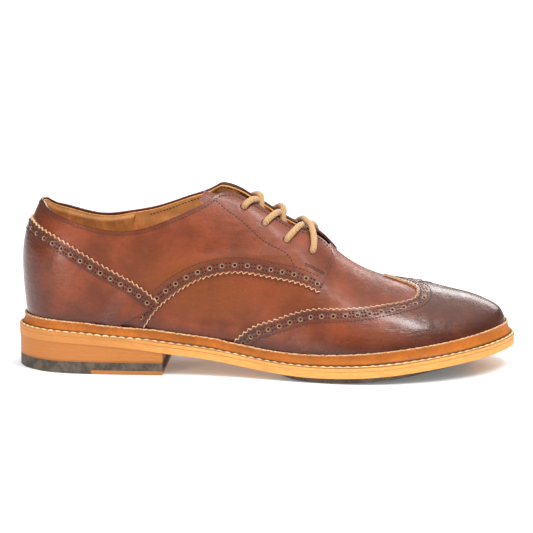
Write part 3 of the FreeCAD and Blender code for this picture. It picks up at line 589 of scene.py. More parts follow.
def calf_leather(name):
    """Antiqued calf: patchy brown, amber where rubbed, dark polishing and painted shade by the per-point
    value, punched holes by band UV with painted shade inside them.
    """
    n = Nodes(name)
    f = finish()
    polish_shade_value = n.add("ShaderNodeAttribute", attribute_name="burnish").outputs["Fac"]
    patch = n.noise(38, 4, 0.6)
    cloud = n.noise(110, 5, 0.65)
    fine = n.noise(900, 4, 0.6)
    base = n.mix(n.ramp(patch, 0.35, 0.68), tuned(f.calf, 0.7), tuned(f.calf, 1.3))
    amber = n.math("MULTIPLY", n.ramp(polish_shade_value, -0.05, -0.75), n.ramp(cloud, 0.25, 0.62, 0.45, 1.0))
    base = n.mix(amber, base, tuple(f.calf_light))
    # Dark by the per-point value: polished toe, heel and topline, and painted shade on the lower wall near
    # the feather line and on the tongue where it lies under the facings.
    dark = n.math("MULTIPLY", n.ramp(polish_shade_value, 0.02, 0.95), n.ramp(cloud, 0.2, 0.75, 1.0, 0.72))
    base = n.mix(dark, base, tuple(f.calf_dark))
    base = n.mix(n.ramp(fine, 0.3, 0.75, 0.0, 0.3), base, tuned(f.calf_dark, 1.6))
    uv = n.add("ShaderNodeUVMap", uv_map="band").outputs[0]
    split = n.add("ShaderNodeSeparateXYZ")
    n.put(split.inputs[0], uv)
    along, off = split.outputs[0], split.outputs[1]
    pitch = 2 * mm("tooth_pitch")
    row = mm("hole_row")
    wobble = n.math("MULTIPLY_ADD", n.noise(1400, 2), 0.3, -0.15)
    step = n.math("SUBTRACT", n.math("FRACT", n.math("DIVIDE", along, pitch)), 0.5)
    dx = n.math("MULTIPLY", step, pitch)
    dy = n.math("SUBTRACT", off, row)
    reach = n.math("SQRT", n.math("ADD", n.math("MULTIPLY", dx, dx), n.math("MULTIPLY", dy, dy)))
    reach = n.math("ADD", reach, wobble)
    big = mm("hole_radius")
    half = n.math("FRACT", n.math("ADD", n.math("DIVIDE", along, pitch), 0.5))
    sx = n.math("MULTIPLY", n.math("SUBTRACT", half, 0.5), pitch)
    sx = n.math("SUBTRACT", n.math("ABSOLUTE", sx), big)
    sy = n.math("SUBTRACT", n.math("ABSOLUTE", dy), SMALL_HOLE_STEP)
    small = n.math("SQRT", n.math("ADD", n.math("MULTIPLY", sx, sx), n.math("MULTIPLY", sy, sy)))
    inside = n.math("MULTIPLY", n.ramp(off, 0.9, 1.8), n.ramp(off, 2 * row - 1.2, 2 * row - 2.4), clamp=True)
    base = n.mix(n.math("MULTIPLY", inside, n.ramp(cloud, 0.3, 0.7, 0.75, 0.4)), base, tuple(f.band))
    fray = n.math("MULTIPLY", n.ramp(off, 0.75, 0.3), n.ramp(fine, 0.35, 0.6, 0.3, 1.0))
    base = n.mix(fray, base, tuple(f.raw_edge))
    rim = n.math("MULTIPLY", n.ramp(reach, big - 0.1, big + 0.05), n.ramp(reach, big + 0.6, big + 0.3))
    base = n.mix(n.math("MULTIPLY", rim, 0.7), base, tuned(f.raw_edge, 0.62))
    # Painted shade: the insides of the large and the small punched holes are painted near black, standing for
    # the dark inside of a hole.
    base = n.mix(n.ramp(reach, big + 0.08, big - 0.1), base, tuned(f.calf_dark, 0.2))
    base = n.mix(n.ramp(small, 0.62, 0.42), base, tuned(f.calf_dark, 0.2))
    crease = n.noise(260, 3, 0.55, stretch=(0.35, 0.35, 1.7))
    pores = n.cells(1500)
    rough = n.math("SUBTRACT", n.ramp(cloud, 0.3, 0.7, 0.34, 0.48), n.ramp(polish_shade_value, -0.4, 0.7, -0.08, 0.16))
    n.put(n.shader.inputs["Coat Weight"], n.ramp(polish_shade_value, -0.1, 0.6, 0.04, 0.26))
    low = n.bump(n.math("ADD", n.math("MULTIPLY", fine, 0.6), n.math("MULTIPLY", pores, 0.5)), 0.00018, 0.55)
    normal = n.bump(crease, 0.0011, 0.3, n.bump(patch, 0.004, 0.25, low))
    return n.surface(base, rough, normal, Coat_Roughness=0.14, Specular_IOR_Level=0.26)


def edge_leather(name, shade, scale=700):
    """Cut or dressed edge: fibres in two sizes of noise, darker flecks, matt."""
    n = Nodes(name)
    fibre = n.noise(scale, 5, 0.7)
    soft = n.noise(60, 3, 0.5)
    base = n.mix(n.ramp(fibre, 0.3, 0.7), tuned(shade, 0.72), tuned(shade, 1.15))
    base = n.mix(n.ramp(soft, 0.35, 0.75, 0, 0.4), base, tuned(shade, 0.6))
    return n.surface(base, n.ramp(fibre, 0.3, 0.7, 0.55, 0.8), n.bump(fibre, 0.0003, 0.6),
                     Specular_IOR_Level=0.35)


def lining_leather(name, shade):
    """Vegetable tanned lining: mottled tan, soft wrinkles and fine pores."""
    n = Nodes(name)
    patch = n.noise(70, 4, 0.6)
    wrinkle = n.noise(210, 3, 0.6, stretch=(1.6, 1.0, 0.5))
    fine = n.noise(1300, 3, 0.6)
    base = n.mix(n.ramp(patch, 0.3, 0.72), tuned(shade, 0.75), tuned(shade, 1.2))
    base = n.mix(n.ramp(wrinkle, 0.5, 0.8, 0, 0.45), base, tuned(shade, 0.5))
    normal = n.bump(wrinkle, 0.0012, 0.5, n.bump(fine, 0.0002, 0.5))
    return n.surface(base, n.ramp(patch, 0.3, 0.7, 0.5, 0.7), normal, Specular_IOR_Level=0.35)


def rand_leather(name):
    """Orange-tan rand: rubbed streaks along it, painted shade in the corner at its foot, rough light raw
    upper edge, both from the per-point value.
    """
    n = Nodes(name)
    shade = finish().rand
    polish_shade_value = n.add("ShaderNodeAttribute", attribute_name="burnish").outputs["Fac"]
    patch = n.noise(55, 4, 0.6)
    fine = n.noise(700, 4, 0.65)
    base = n.mix(n.ramp(patch, 0.3, 0.7), tuned(shade, 0.8), tuned(shade, 1.2))
    base = n.mix(n.ramp(fine, 0.35, 0.75, 0, 0.35), base, tuned(shade, 0.5))
    # Darker where the per-point value is high: painted shade in the corner where the rand meets the welt.
    base = n.mix(n.ramp(polish_shade_value, 0.1, 0.9), base, tuned(shade, 0.18))
    ragged = n.math("MULTIPLY", n.ramp(polish_shade_value, -0.3, -0.9), n.ramp(fine, 0.35, 0.6))
    base = n.mix(ragged, base, tuple(finish().raw_edge))
    return n.surface(base, n.ramp(fine, 0.3, 0.7, 0.36, 0.6), n.bump(fine, 0.0004, 0.6),
                     Specular_IOR_Level=0.2)


def sole_edge(name, shade, layer=0.0, dark=0.0):
    """Dressed sole edge: bands of layers by height, fibre noise, small stains, a little wax."""
    n = Nodes(name)
    split = n.add("ShaderNodeSeparateXYZ")
    n.put(split.inputs[0], n.place)
    wander = n.math("MULTIPLY_ADD", n.noise(40, 2), 0.0016, -0.0008)
    height = n.math("ADD", split.outputs[2], wander)
    fibre = n.noise(520, 4, 0.65, stretch=(0.35, 0.35, 2.2))
    stain = n.noise(75, 4, 0.6)
    polish_shade_value = n.add("ShaderNodeAttribute", attribute_name="burnish").outputs["Fac"]
    base = n.mix(n.ramp(fibre, 0.3, 0.7), tuned(shade, 0.84), tuned(shade, 1.1))
    if layer:
        phase = n.math("FRACT", n.math("DIVIDE", height, layer))
        line = n.math("MULTIPLY", n.ramp(phase, 0.0, 0.16, 1, 0), 0.55)
        base = n.mix(line, base, tuned(shade, 0.45))
    base = n.mix(n.ramp(stain, 0.5, 0.8, 0, 0.5), base, tuned(shade, 0.55))
    # Darker by the per-point value: dark dressing on the welt's top edge, painted shade in its stitch channel
    # and beside the rand.
    base = n.mix(n.ramp(polish_shade_value, 0.1, 0.9), base, tuned(finish().calf_dark, 1.8))
    heel = n.ramp(split.outputs[0], -0.02, -0.11, 0, 0.75)
    base = n.mix(heel, base, tuple(finish().stack))
    if dark:
        foot = n.ramp(height, dark, dark - 0.0035)
        base = n.mix(n.math("MULTIPLY", foot, 0.85), base, tuned(shade, 0.33))
    return n.surface(base, n.ramp(fibre, 0.3, 0.7, 0.42, 0.62), n.bump(fibre, 0.0004, 0.6),
                     Specular_IOR_Level=0.3)


def sole_rubber(name):
    """Dusty rubber: dark brown-grey, worn patches and pale specks, matt."""
    n = Nodes(name)
    shade = finish().rubber
    wear = n.noise(160, 5, 0.65)
    speck = n.noise(900, 3, 0.6)
    base = n.mix(n.ramp(wear, 0.35, 0.7), tuned(shade, 0.6), tuned(shade, 1.5))
    base = n.mix(n.ramp(speck, 0.55, 0.75, 0, 0.5), base, tuned(shade, 2.6))
    return n.surface(base, n.ramp(wear, 0.3, 0.7, 0.7, 0.9), n.bump(speck, 0.0004, 0.7),
                     Specular_IOR_Level=0.3)


def lace_cloth(name):
    """Round woven lace: crossing diagonal ribs by two wave textures, fuzz, painted shade between the ribs."""
    n = Nodes(name)
    shade = finish().lace
    ribs = []
    for turn in ((0.6, 0.5, 0.4), (-0.6, -0.3, 0.9)):
        mapping = n.add("ShaderNodeMapping")
        n.put(mapping.inputs[0], n.place)
        mapping.inputs["Rotation"].default_value = turn
        wave = n.add("ShaderNodeTexWave", bands_direction="DIAGONAL")
        n.put(wave.inputs["Vector"], mapping.outputs[0])
        wave.inputs["Scale"].default_value = 260
        wave.inputs["Distortion"].default_value = 1.5
        ribs.append(wave.outputs["Fac"])
    weave = n.math("MAXIMUM", ribs[0], ribs[1])
    fuzz = n.noise(1800, 3, 0.6)
    # Darker where the weave is low, between the ribs: painted shade.
    base = n.mix(n.ramp(weave, 0.2, 0.9), tuned(shade, 0.78), tuned(shade, 1.1))
    base = n.mix(n.ramp(fuzz, 0.4, 0.75, 0, 0.25), base, tuned(shade, 0.6))
    normal = n.bump(weave, 0.0003, 0.5, n.bump(fuzz, 0.0002, 0.5))
    return n.surface(base, n.ramp(weave, 0.0, 1.0, 0.9, 0.72), normal, Sheen_Weight=0.25,
                     Specular_IOR_Level=0.25)


def thread_cloth(name, shade):
    """Waxed thread: twist ribs by fine noise, a little darker in patches."""
    n = Nodes(name)
    twist = n.noise(3200, 2, 0.5)
    patch = n.noise(90, 3, 0.5)
    base = n.mix(n.ramp(twist, 0.35, 0.7), tuned(shade, 0.7), tuned(shade, 1.15))
    base = n.mix(n.ramp(patch, 0.4, 0.75, 0, 0.5), base, tuned(shade, 0.55))
    return n.surface(base, n.ramp(twist, 0.3, 0.7, 0.5, 0.7), n.bump(twist, 0.0001, 0.5))


def hard_finish(name, shade, metallic, rough):
    """Small hard part: brushed or moulded look from fine noise, scuffs from a coarser one."""
    n = Nodes(name)
    brush = n.noise(1500, 3, 0.6, stretch=(0.3, 1, 1))
    scuff = n.noise(240, 4, 0.6)
    base = n.mix(n.ramp(scuff, 0.35, 0.75), tuned(shade, 0.75), tuned(shade, 1.15))
    return n.surface(base, n.ramp(brush, 0.3, 0.7, rough, rough + 0.2), n.bump(brush, 0.00008, 0.5),
                     Metallic=metallic)


def material(name, maker, *args):
    return bpy.data.materials.get(name) or maker(name, *args)


def calf():
    return [material("antique calf", calf_leather),
            material("raw calf edge", edge_leather, finish().raw_edge)]


def lining_pair(name="tan lining", factor=1.0):
    return [material(name, lining_leather, tuned(finish().lining, factor)),
            material("lining edge", edge_leather, finish().lining)]


def dress(node, *look):
    """Gives a frame node's own mesh one material."""
    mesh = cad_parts[node].data
    mesh.materials.clear()
    mesh.materials.append(material(*look))


def ship(obj, slot, *nodes, body_name="shoe"):
    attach(obj, body_name)
    if nodes:
        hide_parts(*nodes)
    return obj


# ------------------------------------------------------------------ leather pieces

def polish_and_shade(v, p):
    """Darkening by place, partly from polishing and partly painted shade: dark at toe, heel and topline from
    polishing; dark towards the feather line, which is painted shade of the lower wall over some polishing;
    amber on the wall of the vamp.
    """
    over = p[..., 2] - groove(np.clip(p[..., 0] + CENTRE_X, 0, SOLE_LENGTH))
    toe = 1.0 * smooth((p[..., 0] - 62) / 66)
    # Darker towards the feather line: painted shade of the lower wall, with some real polishing.
    foot = 0.95 * np.exp(-np.maximum(over - 3, 0) / 8.5)
    heel = 0.7 * smooth((-112 - p[..., 0]) / 34) + 0.2 * smooth((over - 58) / 24)
    amber = 0.4 * np.exp(-((p[..., 0] - 20) / 42) ** 2 - ((np.abs(v) - 0.6) / 0.3) ** 2)
    amber += 1.1 * np.exp(-((p[..., 0] + 38) / 24) ** 2 - ((np.abs(v) - 0.76) / 0.13) ** 2)
    amber += 0.3 * np.exp(-((p[..., 0] + 70) / 40) ** 2 - ((np.abs(v) - 0.72) / 0.16) ** 2)
    return np.clip(np.maximum(np.maximum(toe, foot), heel) - amber * (1 - toe), -1, 1)


def pinked_grid(edge, far, level_in, level_out, fine_rows, spacing, pinked=None, chart=lambda u, v: (u, v)):
    """Grid from a pinked edge to the opposite edge, columns eight to a tooth, rows close near the edge.

    Teeth: border points slide inward by a triangle wave of the length along the edge. Holes: points sink
    by a smooth dish of the distance to the nearest hole centre.
    """
    tooth, depth = mm("tooth_pitch"), mm("tooth_depth")
    dense = np.linspace(0, 1, 2400)
    eu, ev = chart(*edge(dense))
    line = offset(eu, ev, level_out(eu, ev))
    run = np.concatenate([[0], np.cumsum(np.linalg.norm(np.diff(line, axis=0), axis=1))])
    t = np.interp(np.arange(0, run[-1], tooth / 8), run, dense)
    eu, ev = edge(t)
    fu, fv = far(t)
    width = np.linalg.norm(body(*chart(fu, fv)) - body(*chart(eu, ev)), axis=1)
    close = np.arange(fine_rows) * spacing
    near = close[None] * np.minimum(1, width * 0.8 / close[-1])[:, None] / np.maximum(width, 0.5)[:, None]
    rest = np.linspace(0, 1, 34)[1:]
    f = np.concatenate([near, near[:, -1:] + (1 - near[:, -1:]) * rest[None]], 1)
    u, v = chart(eu[:, None] + (fu - eu)[:, None] * f, ev[:, None] + (fv - ev)[:, None] * f)
    outer = offset(u, v, level_out(u, v))
    inner = offset(u, v, level_in(u, v))
    a, b = band_of(outer, line)
    cut = 1.0 if pinked is None else pinked(u[:, :1], v[:, :1])
    wave = np.abs(2 * np.mod(a / tooth, 1) - 1) * depth * cut
    inward = unit(outer[:, 1:2] - outer[:, :1])
    slide = inward * (wave * np.clip(1 - b / 3.2, 0, 1))[..., None]
    pitch = 2 * tooth
    row = mm("hole_row")
    dx = (np.mod(a / pitch, 1) - 0.5) * pitch
    big = np.hypot(dx, b - row)
    hole = mm("hole_radius")
    sx = (np.mod(a / pitch + 0.5, 1) - 0.5) * pitch
    small = np.hypot(np.abs(sx) - hole, np.abs(b - row) - SMALL_HOLE_STEP)
    sink = 0.85 * (1 - smooth((big - hole + 0.35) / 0.6)) + 0.4 * (1 - smooth((small - 0.3) / 0.35))
    sink -= 0.12 * np.exp(-((big - hole - 0.45) / 0.3) ** 2)
    off = np.where(np.broadcast_to(cut, b.shape) > 0.5, b, 60.0)
    sink = sink * np.broadcast_to(cut, b.shape)
    normal = unit(outer - inner)
    outer = outer + slide - normal * sink[..., None]
    inner = inner + slide
    return u, v, outer, inner, a, b, off, normal


def level_row(outer, normal, b, distance, start=4.0, end=4.0, part=None):
    """Line on the grid where the distance from the edge first reaches a value, column by column."""
    k = np.clip((b >= distance).argmax(1), 1, b.shape[1] - 1)
    i = np.arange(len(b))
    t = np.clip((distance - b[i, k - 1]) / np.maximum(b[i, k] - b[i, k - 1], 1e-6), 0, 1)[:, None]
    line = outer[i, k - 1] * (1 - t) + outer[i, k] * t
    good = (b.max(1) > distance)
    if part is not None:
        good &= part
    return resample(line[good], normal[i, k][good], start, end, mm("stitch"))


def chart_row(knots, side, level, spacing, face=1):
    """Line through chart knots at a height over the foot form, seen from outside (1) or inside (-1)."""
    u, v = through(knots, 240)
    v = v * side
    height = level(u, v)
    line = offset(u, v, height)
    return resample(line, offset(u, v, height + face) - line, 0.6, 0.4, spacing)


def flat_level(value):
    return lambda u, v: np.full(np.broadcast(u, v).shape, value)


class SHOE_OT_wing_cap(bpy.types.Operator):
    """Wing cap with pinked edge and punched holes"""
    bl_idname = "shoe.wing_cap"
    bl_label = "Wing cap"

    def execute(self, context):
        reach = 0.535
        edge = lambda t: (cap_edge(np.abs(reach * (2 * t - 1))), reach * (2 * t - 1))
        far = lambda t: (np.zeros_like(t), reach * (2 * t - 1))
        low, high = flat_level(OVERLAY[0]), flat_level(OVERLAY[1])
        grid = pinked_grid(edge, far, low, high, 30, 0.45, chart=toe_chart)
        _, v, outer, inner, a, b, off, normal = grid
        cap = skin("wing_cap_leather", outer, inner, calf(), (a, off), polish_and_shade(v, outer) + 0.25, (1, 0, 0, 0))
        ship(cap, "upper_leather", "wing_cap")
        sew_upper("wing_cap_stitches", [level_row(outer, normal, b, d) for d in (FIRST_SEAM, CAP_SEAM)])
        return {"FINISHED"}


class SHOE_OT_vamp(bpy.types.Operator):
    """Vamp with flexing creases, and its lining"""
    bl_idname = "shoe.vamp"
    bl_label = "Vamp"

    def execute(self, context):
        y = np.linspace(-0.68, 0.68, 300)[:, None]
        v_try = np.linspace(0, 1, 4000)
        sine = (1 - vamp_rear(v_try)) * np.sin(math.pi * v_try / 2)
        v_at = np.interp(np.abs(y), sine, v_try)
        far = (1 - vamp_rear(v_at)) * np.cos(math.pi * v_at / 2)
        near = vamp_front(np.minimum(np.abs(y), 0.56))
        f = np.linspace(0, 1, 120)[None]
        u, v = toe_chart(near + (far - near) * f, y)
        outer = offset(u, v, np.full(u.shape, SHELL[1]))
        inner = offset(u, v, np.full(u.shape, SHELL[0]))
        where = np.exp(-((outer[..., 0] + 28) / 22) ** 2 - ((outer[..., 2] - 38) / 13) ** 2)
        fold = np.sin((outer[..., 2] * 0.9 + outer[..., 0] * 0.16) + 1.3 * np.sin(outer[..., 0] * 0.11))
        bend = np.exp(-((outer[..., 0] - 30) / 13) ** 2) * np.sin(outer[..., 0] * 0.9 + outer[..., 1] * 0.1)
        outer = outer + unit(outer - inner) * (0.14 * where * fold + 0.08 * bend)[..., None]
        vamp = skin("vamp_leather", outer, inner, calf(), None, polish_and_shade(v, outer))
        ship(vamp, "upper_leather", "vamp")
        u, v = toe_chart((far - 0.003) * np.linspace(0, 1, 90)[None], y * 0.99)
        piece = skin("vamp_lining_leather", offset(u, v, np.full(u.shape, LINING[1])),
                     offset(u, v, np.full(u.shape, LINING[0])), lining_pair())
        ship(piece, "lining_leather", "vamp_lining")
        return {"FINISHED"}


def counter_curve(knots):
    """Chart curve across the heel seam, mirrored about it: inner side first, outer side last."""
    u0, v0 = through(knots, 400)
    part = np.linspace(0, 1, 400)

    def at(t):
        w = 2 * t - 1
        u = np.interp(np.abs(w), part, u0)
        return np.where(w < 0, -u, u), -np.minimum(np.interp(np.abs(w), part, v0), 1.0)

    return at


class SHOE_OT_counter(bpy.types.Operator):
    """Heel counter wrapped round the back"""
    bl_idname = "shoe.counter"
    bl_label = "Heel counter"

    def execute(self, context):
        low = lambda u, v: step_up(np.abs(u), v) + LEATHER + 0.25
        high = lambda u, v: step_up(np.abs(u), v) + 2 * LEATHER + 0.25
        grid = pinked_grid(counter_curve(COUNTER_TOP), counter_curve(COUNTER_FOOT), low, high, 28, 0.45)
        _, v, outer, inner, a, b, off, normal = grid
        piece = skin("heel_counter_leather", outer, inner, calf(), (a, off), polish_and_shade(v, outer), (1, 0, 0, 0))
        ship(piece, "upper_leather", "heel_counter")
        sew_upper("counter_stitches", [level_row(outer, normal, b, d) for d in (FIRST_SEAM, COUNTER_SEAM)])
        return {"FINISHED"}


def eyelet_dish(outer, side, level):
    """Depth of the eyelet holes: a steep-walled dish round each hole centre."""
    sink = np.zeros(outer.shape[:2])
    for u, v in EYELETS:
        centre = offset(u, side * v, level(u, side * v))
        r = np.linalg.norm(outer - centre, axis=-1)
        sink = np.maximum(sink, 1.25 * (1 - smooth((r - 1.5) / 0.9)))
    return sink


class SHOE_OT_quarters(bpy.types.Operator):
    """Quarters with facings, eyelet holes, pinked front and all their seams"""
    bl_idname = "shoe.quarters"
    bl_label = "Quarters"

    def execute(self, context):
        for side, name in ((-1, "lateral"), (1, "medial")):
            def edge(t):
                u, v = through(QUARTER_FOOT, at=t)
                return np.maximum(u, 0.0012), side * np.minimum(v, 1.0)

            def far(t):
                u, v = through(top_edge(side), at=t)
                return np.maximum(u, 0.0012), side * v

            pinked = lambda u, v: smooth((0.995 - np.abs(v)) / 0.02)
            low = lambda u, v: step_up(u, v) + flare(u, v, side)
            high = lambda u, v: low(u, v) + LEATHER
            grid = pinked_grid(edge, far, low, high, 30, 0.45, pinked)
            u, v, outer, inner, a, b, off, normal = grid
            outer = outer - normal * eyelet_dish(outer, side, high)[..., None]
            rim_line = outer[:, -1]
            _, rim = band_of(outer, rim_line)
            shade = polish_and_shade(v, outer) + 0.55 * np.exp(-rim / 2.2)
            piece = skin("quarter_%s_leather" % name, outer, inner, calf(), (a, off), shade, (1, 0, 0, 0))
            ship(piece, "upper_leather", "quarter_" + name)
            front = np.abs(v[:, 0]) < 0.985
            rows = [level_row(outer, normal, b, d, part=front) for d in (FIRST_SEAM, QUARTER_SEAM)]
            rows.append(level_row(outer[:, ::-1], normal[:, ::-1], rim[:, ::-1], RIM_SEAM, 1.0, 2.0))
            rows.append(chart_row(FACING_SEAM, side, high, mm("stitch")))
            for shift in (0.0, 0.012):
                tack = [(TACKS[0][0], TACKS[0][1] + shift), (TACKS[1][0], TACKS[1][1] + shift)]
                rows.append(chart_row(tack, side, high, mm("stitch") * 0.75))
            sew_upper("quarter_%s_stitches" % name, rows)
        return {"FINISHED"}


class SHOE_OT_linings(bpy.types.Operator):
    """Linings of the quarters and the heel"""
    bl_idname = "shoe.linings"
    bl_label = "Linings"

    def execute(self, context):
        top = spline(TOPLINE[:8], 1, (0, None))
        w = np.linspace(-1, 1, 160)[:, None]
        f = np.linspace(0, 1, 70)[None]
        reach = np.abs(w)
        sign = np.where(w < 0, -1.0, 1.0)
        rim = top(0.3 * reach) + 0.012 - np.where(w < 0, inner_rise(0.3 * reach), 0.0)
        u = sign * 0.3 * reach * np.ones_like(f)
        v = -(1 + (rim - 1) * f)
        fold = 0.12 * np.sin(70 * v + 6 * np.sin(40 * u)) * smooth(f * 1.5) * smooth((1 - f) * 5)
        lift = 1.6 * smooth((f - 0.95) / 0.045)
        # The lining of the heel is the same lining leather at 0.72 of its colour: a darker copy that stands
        # for painted shade.
        piece = skin("heel_lining_leather", offset(u, v, HEEL_LINING[1] + lift),
                     offset(u, v, HEEL_LINING[0] + fold + lift), lining_pair("heel lining", 0.72))
        ship(piece, "lining_leather", "heel_lining")
        front = [(float(vamp_rear(k)) - 0.003, k) for k in (0.9, 0.8, 0.7, 0.6, 0.5, 0.4, 0.3, 0.19)]
        foot = [(0.285, 1.0), (0.294, 0.995)] + front
        for side, name in ((-1, "lateral"), (1, "medial")):
            knots = top_edge(side)
            edge = np.concatenate([knots[6:13] + [0, 0.012], knots[13:-2] + [0.003, 0.012]])
            lu, lv = through(foot, 170)
            hu, hv = through(edge, 170)
            u = lu[:, None] + (hu - lu)[:, None] * f
            v = side * (np.minimum(lv, 1)[:, None] + (hv - np.minimum(lv, 1))[:, None] * f)
            stand = flare(u, v, side)
            outer = offset(u, v, LINING[1] + stand)
            fold = 0.1 * np.sin(60 * v + 50 * u) * smooth((1 - f) * 5)
            inner = offset(u, v, LINING[0] + stand + fold)
            piece = skin("quarter_lining_%s_leather" % name, outer, inner, lining_pair())
            ship(piece, "lining_leather", "quarter_lining_" + name)
            near = lambda u, v: LINING[0] - 0.05 + flare(u, v, side)
            back = lambda u, v: near(u, v) + 0.2 - 0.3 * smooth((0.3 - u) / 0.01)
            rows = [chart_row(edge[1:10] + [0, 0.03], side, near, mm("stitch"), -1),
                    chart_row(knots[:7] + [0, 0.04], side, back, mm("stitch"), -1)]
            sew_upper("lining_%s_stitches" % name, rows)
        return {"FINISHED"}


class SHOE_OT_tongue(bpy.types.Operator):
    """Tongue and its lining, bending from the throat"""
    bl_idname = "shoe.tongue"
    bl_label = "Tongue"

    def execute(self, context):
        half = spline([(0.39, 0.27), (0.45, 0.33), (0.52, 0.36), (0.56, 0.35), (0.615, 0.24)])
        for name, ends, trim, top, bottom, materials, slot in (
                ("tongue", (0.393, 0.611), 0.0, 0.0, TONGUE_THICK, calf(), "upper_leather"),
                ("tongue_lining", (0.396, 0.604), 0.012, TONGUE_THICK + 0.25,
                 TONGUE_THICK + 0.25 + TONGUE_LINING_THICK, lining_pair(), "lining_leather")):
            u = np.linspace(*ends, 130)[:, None]
            width = half(u) * (1 - 0.25 * smooth((0.405 - u) / 0.014)) - trim
            v = width * np.linspace(-1, 1, 90)[None]
            u = u * np.ones_like(v)
            wave = 0.25 * np.sin(v * 17 + u * 60) * (1 - smooth((u - 0.5) / 0.08))
            outer = tongue_at(u, v, tongue_level(u, v) - top - np.abs(wave) * 0.6)
            inner = tongue_at(u, v, tongue_level(u, v) - bottom)
            # Per-point value of the tongue: a little dark all over, and painted shade growing towards its
            # root, where it lies between and under the facings and the lace.
            shade = 0.35 + 0.3 * smooth((u - 0.41) / 0.05) * np.ones_like(v)
            piece = skin(name + "_leather", outer, inner, materials, None, shade)
            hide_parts(name)
            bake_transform(piece)
        return {"FINISHED"}


# ------------------------------------------------------------------ lace

def under(k, side):
    u, v = EYELETS[k]
    return offset(u, side * v, LINING[0] - 0.4 - LACE_RADIUS)


def over(k, side):
    u, v = EYELETS[k]
    return offset(u, side * v, step_up(u, v) + LEATHER + 0.7 + LACE_RADIUS)


def crossing(k, side, upper):
    """Lace from the top of hole k over the edge, across the gap and under the other edge."""
    ua, ub = EYELETS[k][0], EYELETS[k + 1][0]
    mid = (ua + ub) / 2
    a = ua + (ub - ua) * 0.3
    b = ua + (ub - ua) * 0.7
    lip = facing_edge(a) - 0.012
    top = LEATHER + 0.8 + LACE_RADIUS
    low = LINING[0] - 0.5 - LACE_RADIUS
    points = [over(k, side), offset(a, side * lip, top + step_up(a, lip))]
    if upper:
        points += [offset(mid - 0.002, side * 0.015, 2.1), offset(mid + 0.002, -side * 0.03, 1.4),
                   offset(b, -side * 0.125, low)]
    else:
        points += [offset(mid, 0.0, -2.4), offset(b, -side * 0.17, low)]
    return points + [under(k + 1, -side)]


def last_crossing(side, upper):
    """Lace from the top of the third hole over both edges to the top of the fourth."""
    ua, ub = EYELETS[2][0], EYELETS[3][0]
    top = LEATHER + 0.8 + LACE_RADIUS
    a = ua + (ub - ua) * 0.3
    b = ua + (ub - ua) * 0.75
    near = facing_edge(a) - 0.012
    far = facing_edge(b) - 0.012
    return [over(2, side), offset(a, side * near, top + step_up(a, near)),
            offset((ua + ub) / 2, 0.0, 2.2 if upper else -2.3),
            offset(b, -side * far, top + step_up(b, far)), over(3, -side)]


def tail(side):
    """Loose end tucked down the inner wall, from its tip to the first hole."""
    spots = [(0.63, 0.83), (0.59, 0.85), (0.55, 0.85), (0.51, 0.82), (0.483, 0.72), (0.47, 0.58),
             (0.462, 0.42), (0.459, 0.3)]
    return [offset(u, side * v, LINING[0] - 0.6 - LACE_RADIUS) for u, v in spots]


def lace_route():
    """The lace from the outer tip through the holes, along the bar under the last pair, to the inner tip."""
    outer = tail(-1) + [under(0, -1)] + crossing(0, -1, False) + crossing(1, 1, True)
    outer += last_crossing(-1, False)
    inner = tail(1) + [under(0, 1)] + crossing(0, 1, True) + crossing(1, -1, False)
    inner += last_crossing(1, True)
    u = EYELETS[3][0]
    bar = [under(3, 1), offset(u, 0.14, -3.5), offset(u, 0.0, -2.7), offset(u, -0.14, -3.5), under(3, -1)]
    return outer + bar + inner[::-1]


class SHOE_OT_lace(bpy.types.Operator):
    """Lace as one smooth curve through the holes, with its tips"""
    bl_idname = "shoe.lace"
    bl_label = "Lace"

    def execute(self, context):
        route = np.array(lace_route()) * 0.001
        curve = bpy.data.curves.new("lace", "CURVE")
        curve.dimensions = "3D"
        curve.bevel_depth = LACE_RADIUS * 0.001
        curve.bevel_resolution = 4
        curve.use_fill_caps = True
        curve.resolution_u = 10
        line = curve.splines.new("NURBS")
        line.points.add(len(route) - 1)
        line.points.foreach_set("co", np.concatenate([route, np.ones((len(route), 1))], 1).ravel())
        line.order_u = 3
        line.use_endpoint_u = True
        curve.materials.append(material("woven lace", lace_cloth))
        lace = bpy.data.objects.new("lace", curve)
        bpy.context.collection.objects.link(lace)
        ship(lace, "lace_cotton", "shoelace")
        dress("aglets", "lace tip", hard_finish, finish().lace, 0.0, 0.3)
        return {"FINISHED"}


# ------------------------------------------------------------------ bottom of the shoe

def rim_line(count=760):
    """Places round the upper from the heel seam, outer side, toe, inner side, and back to the seam."""
    w = 0.0015 + (2 - 0.003) * np.linspace(0, 1, count)
    return np.where(w <= 1, w, 2 - w), np.where(w <= 1, -1.0, 1.0)


def stand_off(u):
    """Clearance of the rand: full over cap and counter, more where the counter lies over the step."""
    gap = smooth((u - 0.335) / 0.015) * (1 - smooth((u - 0.44) / 0.015))
    extra = smooth((u - 0.235) / 0.03) * (1 - smooth((u - 0.305) / 0.03))
    return OVERLAY[1] + 0.5 + (extra - gap) * STEP_OVER


def outward(u, side):
    n = offset(u, side, np.full(u.shape, 3.0)) - offset(u, side, np.zeros(u.shape))
    n[:, 2] = 0
    return unit(n)


def wall_point(u, side, height, d):
    """Point of the upper at a height over the feather line, by halving the interval 24 times."""
    low, high = np.zeros_like(u), np.full(u.shape, 0.35)
    foot = body(u, side)[:, 2]
    for _ in range(24):
        t = (low + high) / 2
        cu, cv = toe_chart(t, side * (1 - u))
        cu = np.where(u > 0.5, cu, u)
        cv = np.where(u > 0.5, cv, side * (1 - t))
        below = body(cu, cv)[:, 2] - foot < height
        low = np.where(below, t, low)
        high = np.where(below, high, t)
    return offset(cu, cv, d)


